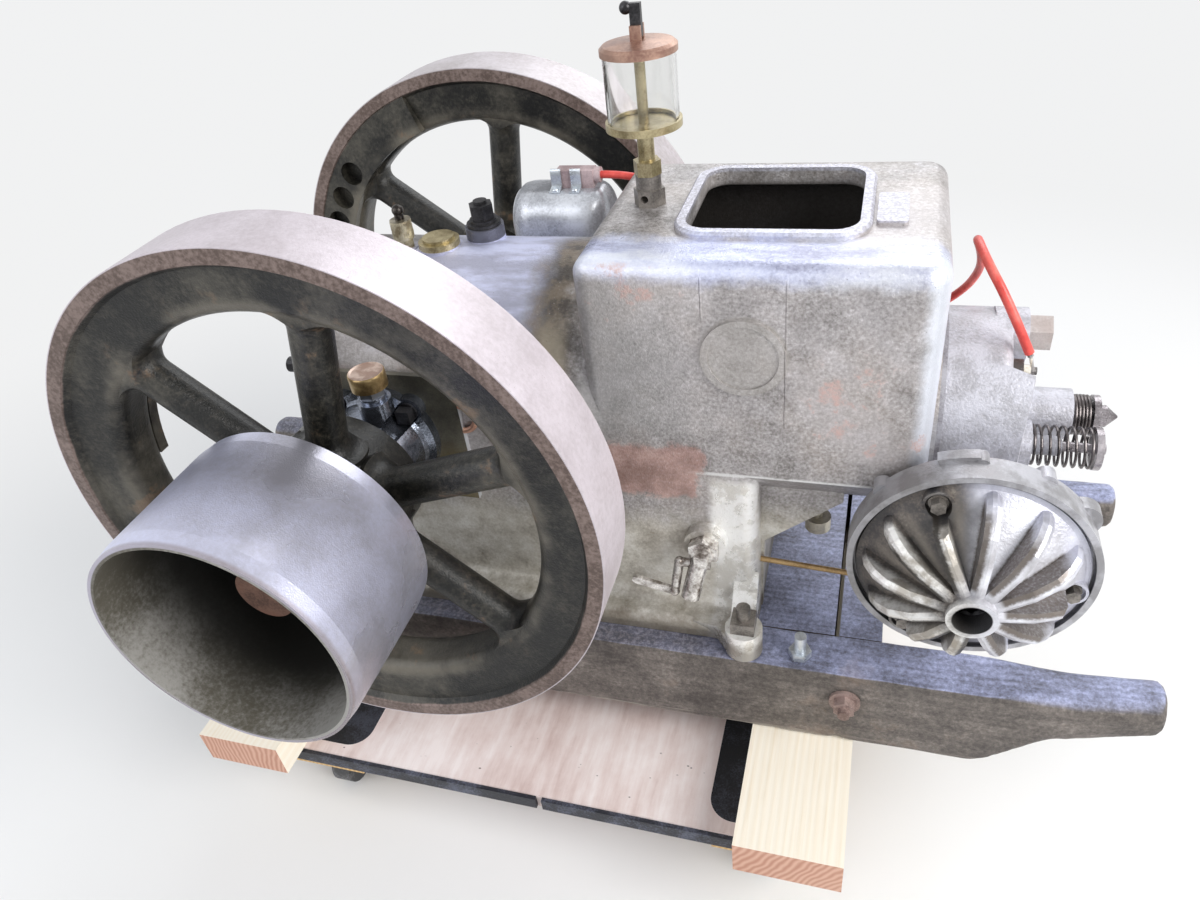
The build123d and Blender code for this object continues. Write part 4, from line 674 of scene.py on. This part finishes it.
# %% [markdown]
# Timber is a stack of rings about a pith that runs along the plank. Distance from that
# line, bent by slow noise times BEND metres, gives lines on the long faces and arcs on the
# sawn ends from one formula. `grain` returns it with the pores that lie along it.
# %% Timber
BEND = 0.024


def grain(f, along, pith, pitch):
    """Rings, the sine of the distance from the pith line, and pores along the plank."""
    axes = f.axes()
    across = [axis for number, axis in enumerate(axes) if number != along]
    stretch = [7.0, 7.0, 7.0]
    stretch[along] = 0.6
    bend = f.noise(2.2, 3.0, 0.5, where=f.stretch(*stretch)) - 0.5
    first, second = across[0] - pith[0], across[1] - pith[1]
    reach = (first**2.0 + second**2.0) ** 0.5 + bend * BEND
    rings = f.node("Math", {0: reach * (FULL_TURN / pitch)}, operation="SINE") * 0.5 + 0.5
    stretch = [1.0, 1.0, 1.0]
    stretch[along] = 0.03
    pores = f.noise(420.0, 4.0, 0.65, where=f.stretch(*stretch))
    return rings, pores


def old_skid():
    """Dark timber: lighter and bluish on top as a painted sheen, darker under the crankcase, brown and
    frayed at the sides.
    """
    f = Finish("old_skid_timber")
    x, _, z = f.axes()
    rings, pores = grain(f, 0, (0.3, 0.02), 0.006)
    cloud = f.noise(24.0, 7.0, 0.66)
    slow = f.noise(7.0, 4.0, 0.6)
    grit = f.noise(300.0, 4.0, 0.7)
    tone = rings * 0.03 + pores * 0.12 + cloud * 0.47 + grit * 0.38
    sides = (0.38, 62, 57, 54), (0.47, 88, 82, 78), (0.55, 110, 103, 98), (0.66, 148, 140, 134)
    # Painted sheen: the tops are lighter and bluer than the sides.
    top_sheen_stops = (0.38, 88, 89, 104), (0.47, 124, 128, 152), (0.55, 156, 162, 194), (0.66, 198, 204, 236)
    side, top = f.shades(tone, *sides), f.shades(tone, *top_sheen_stops)
    facing = f.facing(2)
    f.colour = f.mix(side, top, f.step(facing, 0.5, 0.85))
    f.lay((112, 90, 72), f.step(slow * 0.5 + cloud * 0.5, 0.54, 0.62) * 0.35)
    above = f.step(facing, 0.5, 0.9)
    # Darker on top under the crankcase.
    darker_under_case = f.step(x + (slow - 0.5) * 0.1, 0.19, 0.09) * above
    f.lay(f.mix((64, 60, 57), (118, 111, 102), f.step(grit, 0.44, 0.6)), darker_under_case * 0.6)
    fray = f.step(z + (grit - 0.5) * 0.016, 0.1385, 0.1315) * f.step(pores, 0.46, 0.6)
    f.lay((182, 175, 165), fray * 0.6)
    height = pores * 0.35 + rings * 0.05 + cloud * 0.7 + grit * 0.4
    return f.set(0.62 + (cloud - 0.5) * 0.3 - above * 0.12, 0.0, height, 0.0014, 0.8)


def pale_pine(name, pith, light, dark, end_light, end_dark):
    """Fresh softwood along Y with soft rings, warmer and darker on the sawn ends."""
    f = Finish(name)
    rings, pores = grain(f, 1, pith, 0.0052)
    cloud = f.noise(12.0, 4.0, 0.6)
    share = rings * 0.25 + f.step(pores, 0.5, 0.72) * 0.3 + (cloud - 0.5) * 0.5
    f.colour = f.mix(light, dark, share)
    end = f.step(abs(f.facing(1)), 0.6, 0.9)
    sawn = f.mix(end_light, end_dark, rings * 0.7 + (cloud - 0.5) * 0.6)
    f.lay(sawn, end)
    return f.set(0.62 + (cloud - 0.5) * 0.2, 0.0, pores * 0.5 + rings * 0.25, 0.0005)


def board_face():
    """Thin pinkish board, stained and specked, with pale worn tracks."""
    f = Finish("stained_board")
    cloud = f.noise(9.0, 6.0, 0.62)
    veins = f.noise(30.0, 5.0, 0.6, where=f.stretch(4.0, 0.5, 1.0))
    fine = f.noise(300.0, 3.0, 0.6)
    tone = cloud * 0.6 + veins * 0.4
    f.colour = f.shades(tone, (0.36, 200, 176, 170), (0.5, 226, 210, 206), (0.64, 241, 232, 230))
    specks = f.step(f.cells(60.0, f.stretch(1.0, 1.6, 1.0)), 0.1, 0.05)
    specks = specks * f.step(veins, 0.5, 0.6)
    f.lay((70, 52, 44), specks * 0.8)
    return f.set(0.56 + (cloud - 0.5) * 0.3, 0.0, fine * 0.5 + veins * 0.4, 0.0003)


wear(old_skid(), "skids", "cross_timbers")
BEARER = ((248, 241, 226), (234, 218, 190), (214, 172, 150), (176, 118, 96))
BATTEN = ((236, 210, 158), (212, 174, 112), (226, 192, 136), (192, 148, 96))
wear(pale_pine("bearer_pine", (0.5, -0.05), *BEARER), "bearers")
wear(pale_pine("batten_pine", (0.3, 0.0), *BATTEN), "board_battens")
wear(board_face(), "castor_board")

# %% [markdown]
# What is left is rubber, glass, porcelain and the red cover of the lead. Rubber needs a
# fine tooth and a dusty bloom, glass is a clear shell with smears in its roughness, and
# the lead's skin has a soft shine with a little dirt rubbed in.
# %% Rubber, glass, porcelain and the lead


def rubber(name, dark, dusty, tooth, rough=0.75):
    """Rubber with a dusty bloom; tooth is the scale of its fine grain."""
    f = Finish(name)
    cloud = f.noise(30.0, 5.0, 0.62)
    fine = f.noise(tooth, 2.0, 0.5)
    f.colour = f.mix(dark, dusty, f.step(cloud * 0.7 + fine * 0.3, 0.44, 0.66))
    return f.set(rough + (cloud - 0.5) * 0.3, 0.0, fine, 0.0005)


def clear_glass():
    """Clear glass with smears in its roughness."""
    f = Finish("oiler_glass")
    rough = 0.04 + f.step(f.noise(60.0, 4.0, 0.6), 0.5, 0.7) * 0.2
    f.colour = (247, 247, 246)
    return f.set(rough, Transmission_Weight=1.0, IOR=1.46)


def plug_parts():
    """The plug's three parts by distance along it: steel hexagon, porcelain, steel end."""
    f = Finish("spark_plug_parts")
    x, _, z = f.axes()
    cloud = f.noise(160.0, 4.0, 0.6)
    white = f.inside(x, 0.3516, 0.3571, 0.0003) * f.step(z, 0.466, 0.464)
    steel = f.mix((96, 92, 90), (178, 174, 172), f.step(cloud, 0.4, 0.6))
    glaze = f.mix((238, 234, 224), (204, 190, 170), f.step(cloud, 0.5, 0.66))
    f.colour = f.mix(steel, glaze, white)
    rough = 0.36 - white * 0.2 + (cloud - 0.5) * 0.2
    return f.set(rough, 0.75 - white * 0.75, cloud, 0.0002)


def lead_skin():
    """Red rubber with a soft shine, paler where it is rubbed."""
    f = Finish("red_lead_skin")
    cloud = f.noise(55.0, 5.0, 0.6)
    fine = f.noise(900.0, 2.0, 0.5)
    f.colour = f.shades(cloud, (0.38, 206, 66, 60), (0.52, 228, 88, 80), (0.68, 240, 122, 112))
    return f.set(0.38 + (cloud - 0.5) * 0.3, 0.0, fine, 0.0001)


wear(rubber("pad_rubber", (16, 16, 20), (58, 60, 70), 700.0), "grip_pads")
wear(rubber("edge_strip_rubber", (30, 32, 40), (92, 96, 112), 500.0, 0.5), "edge_strips")
wear(rubber("castor_tread", (70, 70, 72), (128, 128, 130), 400.0), *each_castor("castor_wheel_"))
wear(clear_glass(), "oiler_glass")
wear(plug_parts(), "spark_plug")
wear(lead_skin(), "ignition_lead")
print("solids without a finish:", sorted(undressed))

# %% [markdown]
# Every new surface is a tube: rings of points worked out whole in numpy, where one row of
# the array is one ring. `tube` gives the faces between the rings and a cap at each end,
# and `piece` puts one or more tubes into a mesh, points its faces outwards, and takes
# the body and the finish of a solid that is like it.
# %% Tubes into pieces
body_of = {}
for body, names in frame["record"]["behaviour"]["bodies"].items():
    body_of.update(dict.fromkeys(names, body))


def tube(points):
    """Rings of points, with four-sided faces from ring to ring and a cap at each end."""
    rows, columns = points.shape[:2]
    a, b = np.meshgrid(np.arange(rows - 1) * columns, np.arange(columns), indexing="ij")
    after = (b + 1) % columns
    sides = np.stack([a + b, a + columns + b, a + columns + after, a + after], -1).reshape(-1, 4)
    caps = [list(range(columns)), list(range((rows - 1) * columns, rows * columns))]
    return points.reshape(-1, 3), sides.tolist() + caps


def piece(name, tubes, like, smooth_limit=35.0):
    """One mesh of tubes; its body and finish are those of the solid named by like."""
    points, faces = [], []
    for places, sides in tubes:
        faces += [[number + len(points) for number in side] for side in sides]
        points += places.tolist()
    mesh = bpy.data.meshes.new(name)
    mesh.from_pydata(points, [], faces)
    shape = bmesh.new()
    shape.from_mesh(mesh)
    bmesh.ops.remove_doubles(shape, verts=shape.verts, dist=1e-6)
    bmesh.ops.recalc_face_normals(shape, faces=shape.faces)
    shape.to_mesh(mesh)
    shape.free()
    made = bpy.data.objects.new(name, mesh)
    scene.collection.objects.link(made)
    mesh.materials.append(nodes[like].material_slots[0].material)
    mesh.shade_smooth()
    mesh.set_sharp_from_angle(angle=np.radians(smooth_limit))
    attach(made, body_of[like])
    print(name, len(mesh.polygons), "faces")
    return made


# %% [markdown]
# The ignition lead is a soft red cable, 7 mm thick, that goes out of the magneto, round
# behind the hopper and up in a loop over the head to the spark plug. A cable bends
# smoothly, so it is a NURBS curve through few listed points, the same as in the
# CAD source, and its bevel gives it its thickness.
# %% Ignition lead
LEAD_ROUTE = [
    (148, 112, 147), (185, 112, 147), (235, 115, 122), (295, 118, 80), (355, 118, 36),
    (398, 118, 10), (440, 118, 12), (470, 107, 42), (479, 84, 73), (475.5, 56, 102),
    (466, 28, 130), (471, -10, 129), (489.5, -32, 104), (508.7, -32, 64.7),
]
curve = bpy.data.curves.new("ignition_lead_cable", "CURVE")
curve.dimensions = "3D"
curve.bevel_depth = 0.0035
curve.bevel_resolution = 6
curve.resolution_u = 16
curve.use_fill_caps = True
spline = curve.splines.new("NURBS")
spline.points.add(len(LEAD_ROUTE) - 1)
for point, (x, y, z) in zip(spline.points, LEAD_ROUTE):
    point.co = (*at(x, y, z), 1.0)
spline.order_u = 3
spline.use_endpoint_u = True
cable = bpy.data.objects.new("ignition_lead_cable", curve)
scene.collection.objects.link(cable)
curve.materials.append(nodes["ignition_lead"].material_slots[0].material)
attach(cable, body_of["ignition_lead"])
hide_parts("ignition_lead")
at(148, 112, 147)
print("lead of", len(LEAD_ROUTE), "points")

# %% [markdown]
# Each valve is shut by a coil spring. The wire's middle line is a helix about X whose
# turns crowd together at both ends, as on a real spring. The tube round it uses the
# helix's own outward direction and the X direction, which is true enough for a flat coil.
# %% Valve springs


def coil(start, end, y, z, radius, wire, turns, around=10, steps=56):
    """A spring: the helix's angle grows along the rows, the angle round the wire along columns."""
    share = np.linspace(0.0, 1.0, int(turns * steps))[:, None]
    angle = 2 * np.pi * turns * share
    ends = 0.09
    pitch = np.clip((share - ends) / (1 - 2 * ends), 0, 1)
    flat = wire * 2.05 * turns * ends
    along = start + wire + pitch * (end - start - 2 * wire - 2 * flat)
    along = along + flat * (np.minimum(share / ends, 1) + np.clip((share - 1 + ends) / ends, 0, 1))
    wrap = np.linspace(0, 2 * np.pi, around, endpoint=False)[None, :]
    out = radius + wire * np.cos(wrap)
    return tube(at(along + wire * np.sin(wrap), y + out * np.cos(angle), z + out * np.sin(angle)))


springs = [coil(523.3, 568.8, -23, -24, 15.6, 1.1, 8.0), coil(557.3, 572.8, 23, -24, 15.6, 1.35, 5.0)]
valve_coils = piece("valve_spring_coils", springs, "valve_springs")
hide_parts("valve_springs")

# %% [markdown]
# The skids are old hardwood, square in the middle and dressed down to round handles at
# the ends. The section is a rounded rectangle whose width, height, corner and centre
# change along the plank. Age is added by moving the points: long shallow waves along the
# grain, and bites out of the edges that fade away from them.
# %% Skids


def waves(points, reach, count, seed):
    """A sum of sines in seeded directions; reach is the wavelength on each axis."""
    pick = np.random.default_rng(seed)
    turns = pick.normal(size=(count, 3)) / np.array(reach)
    phase = pick.uniform(0, 2 * np.pi, count)
    return np.sin(points @ turns.T * 2 * np.pi + phase).mean(-1) * np.sqrt(count / 2)


def smooth(value):
    """The soft step from 0 to 1: three squares less two cubes."""
    value = np.clip(value, 0, 1)
    return value * value * (3 - 2 * value)


def rounded_ring(wide, high, corner, per_corner=7, per_side=9):
    """A rounded rectangle for each row of sizes, and how near each point is to a corner."""
    quarter = np.linspace(0, np.pi / 2, per_corner)
    corners = []
    for number, (sign_a, sign_b) in enumerate(((1, 1), (-1, 1), (-1, -1), (1, -1))):
        turn = quarter + number * np.pi / 2
        a = sign_a * (wide / 2 - corner) + corner * np.cos(turn)
        b = sign_b * (high / 2 - corner) + corner * np.sin(turn)
        corners.append(np.stack([a, b]))
    share = np.linspace(0, 1, per_side + 2)[1:-1]
    parts, near = [], []
    for this, after in zip(corners, corners[1:] + corners[:1]):
        parts += [this, this[..., -1:] * (1 - share) + after[..., :1] * share]
        near += [np.ones(per_corner), np.abs(share * 2 - 1) ** 4]
    a, b = np.concatenate(parts, 2)
    return a, b, np.concatenate(near)


def skid_surface(side, seed):
    """One skid: side -1 is the near one."""
    along = np.concatenate([np.arange(-329.7, 638.0, 3.4), [638.7]])[:, None]
    past = np.maximum(along - 500.0, -191.0 - along)
    neck = smooth(past / 75.0)
    tip = np.clip((past - 75.0) / 64.0, 0, 1)
    high = 89.0 - 35.0 * neck - 10.0 * tip
    wide = 45.0 - 5.0 * tip
    corner = 2.2 + 15.8 * neck
    cap = np.clip((past - 133.0) / 6.0, 0, 1)
    squeeze = 1 - 0.16 * (1 - np.sqrt(1 - np.minimum(cap, 0.99) ** 2))
    corner = np.minimum(corner, high / 2.1 * squeeze)
    y, z, edge = rounded_ring(wide * squeeze - 0.4, high * squeeze - 0.4, corner)
    middle_y = side * (127.5 - 3.5 * tip)
    middle_z = -229.5 + 21.0 * neck + 9.5 * tip
    raw = np.stack(np.broadcast_arrays(along, y + middle_y, z + middle_z), -1)
    rough = waves(raw, (260.0, 26.0, 26.0), 24, seed) * 0.45
    rough = rough + waves(raw, (60.0, 9.0, 9.0), 30, seed + 1) * 0.28
    bites = np.clip(waves(raw, (34.0, 16.0, 16.0), 30, seed + 2) - 0.7, 0, 3) * 1.5
    bites = bites * edge[None, :] * (1 - 0.7 * neck)
    shrink = np.maximum(0.15, 0.75 + rough + bites * np.where(z < 0, 1.5, 0.5))
    length = np.sqrt(y**2 + z**2)
    y, z = y * (1 - shrink / length), z * (1 - shrink / length)
    return tube(at(along, y + middle_y, z + middle_z))


both = [skid_surface(-1, 11), skid_surface(1, 23)]
timbers = piece("weathered_skids", both, "skids", 50.0)
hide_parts("skids")

# %% [markdown]
# The lids of the oil cups are turned brass with a rolled rim and a groove, so they are a
# profile swept round a line. The collar of the priming tap is knurled for the fingers:
# there the radius rises and falls with the angle, and two waves that lean opposite ways
# give the small diamonds.
# %% Lids and knurled collar


def knurled(x, y, low, high, radius, depth, teeth, lean, round_edge=0.8, step=0.45):
    """A capped cylinder about Z: radius = R + depth x |two crossing waves|."""
    angle = np.linspace(0, 2 * np.pi, teeth * 5, endpoint=False)[None, :]
    level = np.arange(low, high + step / 2, step)[:, None]
    share = (level - low) / (high - low)
    cross = np.sin(angle * teeth / 2 + lean * share) * np.sin(angle * teeth / 2 - lean * share)
    band = smooth((level - low - 0.8) / 0.8) * smooth((high - 0.9 - level) / 0.8)
    ease = np.minimum(np.minimum(level - low, high - level) / round_edge, 1)
    reach = radius - round_edge * (1 - np.sqrt(1 - (1 - ease) ** 2)) + depth * np.abs(cross) * band

    def ring(reach, level):
        """Points round the line at a distance and a height."""
        return at(x + reach * np.cos(angle), y + reach * np.sin(angle), level)

    flat = radius - round_edge
    under = [ring(flat * 0.9, low), ring(flat * 0.5, low)]
    over = [ring(flat * 0.9, high), ring(flat * 0.5, high + 0.25)]
    return tube(np.concatenate([*under, ring(reach, level), *over]))


def turned(x, y, profile, around=64):
    """A profile of (radius, height) pairs swept round a vertical line."""
    angle = np.linspace(0, 2 * np.pi, around, endpoint=False)[None, :]
    radius, height = np.array(profile).T[:, :, None]
    return tube(at(x + radius * np.cos(angle), y + radius * np.sin(angle), height))


LID = [
    (11.0, 66.12), (14.6, 66.15), (15.0, 66.6), (15.05, 71.0), (14.75, 71.25), (14.75, 71.7),
    (15.05, 71.95), (15.1, 77.8), (14.9, 79.3), (14.2, 80.0), (13.3, 79.9), (12.6, 79.35),
    (11.5, 79.12), (6.0, 79.1), (1.0, 79.1),
]
lids = [turned(14, side * 133, LID) for side in (-1, 1)]
piece("turned_oil_cup_lids", lids, "oil_cups", 40.0)
collar = knurled(0, -3.5, 135.2, 151.9, 9.05, 0.35, 34, 5.0)
piece("knurled_tap_collar", [collar], "priming_tap")

# %% [markdown]
# The magneto's cover is one smooth alloy dome. Its section at each height is a rounded
# rectangle. Above the shoulder, height and inset follow a quarter of an ellipse that is
# longer across than along, so the crown is a ridge under the moulded outlet.
# %% Magneto dome


def magneto_dome(middle, half, shoulder, top, inset):
    """Rings of a rounded rectangle; the inset is (1 - cos) and the rise sin of the same turn."""
    turn = np.linspace(0, np.pi / 2, 28)[:, None]
    height = np.concatenate([[[76.05], [76.6], [90.0]], shoulder + (top - shoulder) * np.sin(turn)])
    shrink = np.concatenate([[[0.03], [0.0], [0.0]], 1 - np.cos(turn)])
    wide, deep = 2 * (half[0] - inset[0] * shrink), 2 * (half[1] - inset[1] * shrink)
    x, y, _ = rounded_ring(wide, deep, 26.0 * deep / (2 * half[1]), 12, 5)
    return tube(at(middle[0] + x, middle[1] + y, height))


shell = magneto_dome((109.0, 112.0), (49.0, 36.0), 105.0, 137.0, (12.0, 25.0))
dome = piece("magneto_dome", [shell], "magneto_body", 40.0)
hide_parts("magneto_body")

# %% [markdown]
# Two spring clips of bent strip hold the moulded outlet down on the magneto, each under
# a small screw. A clip is a path of (y, z) places given a thickness on both sides and a
# width along X.
# %% Magneto clips


def strip(path, left, right, thick):
    """A bent strip: the path moved half the thickness each way along its own normal."""
    path = np.array(path, float)
    along = np.gradient(path, axis=0)
    normal = np.stack([along[:, 1], -along[:, 0]], 1) / np.linalg.norm(along, axis=1)[:, None]
    outer, inner = path + normal * thick / 2, path - normal * thick / 2
    ring = [(left, outer), (right, outer), (right, inner), (left, inner)]
    return tube(np.stack([at(x, line[:, 0], line[:, 1]) for x, line in ring], 1))


CLIP = [
    (105.2, 154.6), (104.2, 154.4), (103.6, 153.4), (103.4, 148.0), (103.3, 141.5),
    (102.6, 139.2), (100.6, 138.3), (97.0, 137.4), (94.0, 136.5),
]
SCREW = [(0.3, 134.0), (3.0, 134.2), (3.1, 138.6), (2.7, 139.3), (1.6, 139.7), (0.3, 139.8)]
clips = [strip(CLIP, left, left + 10.0, 1.1) for left in (102.0, 121.0)]
clips += [turned(left + 5.0, 97.2, SCREW, 20) for left in (102.0, 121.0)]
piece("magneto_clips", clips, "loose_bolt", 30.0)

# %% [markdown]
# The floor is plain and pale, and only there to catch the shadow. Far from the engine,
# where the lamps don't reach, what the camera and mirrors see of it goes over to an even
# glow, so the background stays pale and no extra light falls on the engine.
# %% Floor
HALF = 9.0
JUST_UNDER = -0.0002
f = Finish("plain_floor")
f.colour = (232, 232, 232)
f.set(0.9, height=f.noise(8.0), depth=0.0002)
glow = f.node("Emission", {"Color": (241.05, 241.65, 242.25), "Strength": 1.0})
away = f.step(f.far_from((0.05, 0.0, 0.0)), 0.75, 1.7)
mixed = f.tree.nodes.new("ShaderNodeMixShader")
f.put(mixed.inputs[0], Field(f, seen_directly(f.tree)) * away)
f.tree.links.new(f.shader.outputs[0], mixed.inputs[1])
f.put(mixed.inputs[2], glow)
f.tree.links.new(mixed.outputs[0], f.tree.nodes["Material Output"].inputs["Surface"])
mesh = bpy.data.meshes.new("plain_floor")
square = [(a * HALF, b * HALF, JUST_UNDER) for a, b in ((-1, -1), (1, -1), (1, 1), (-1, 1))]
mesh.from_pydata(square, [], [(0, 1, 2, 3)])
mesh.materials.append(f.material)
floor = bpy.data.objects.new("plain_floor", mesh)
scene.collection.objects.link(floor)
print("floor at Z = 0")
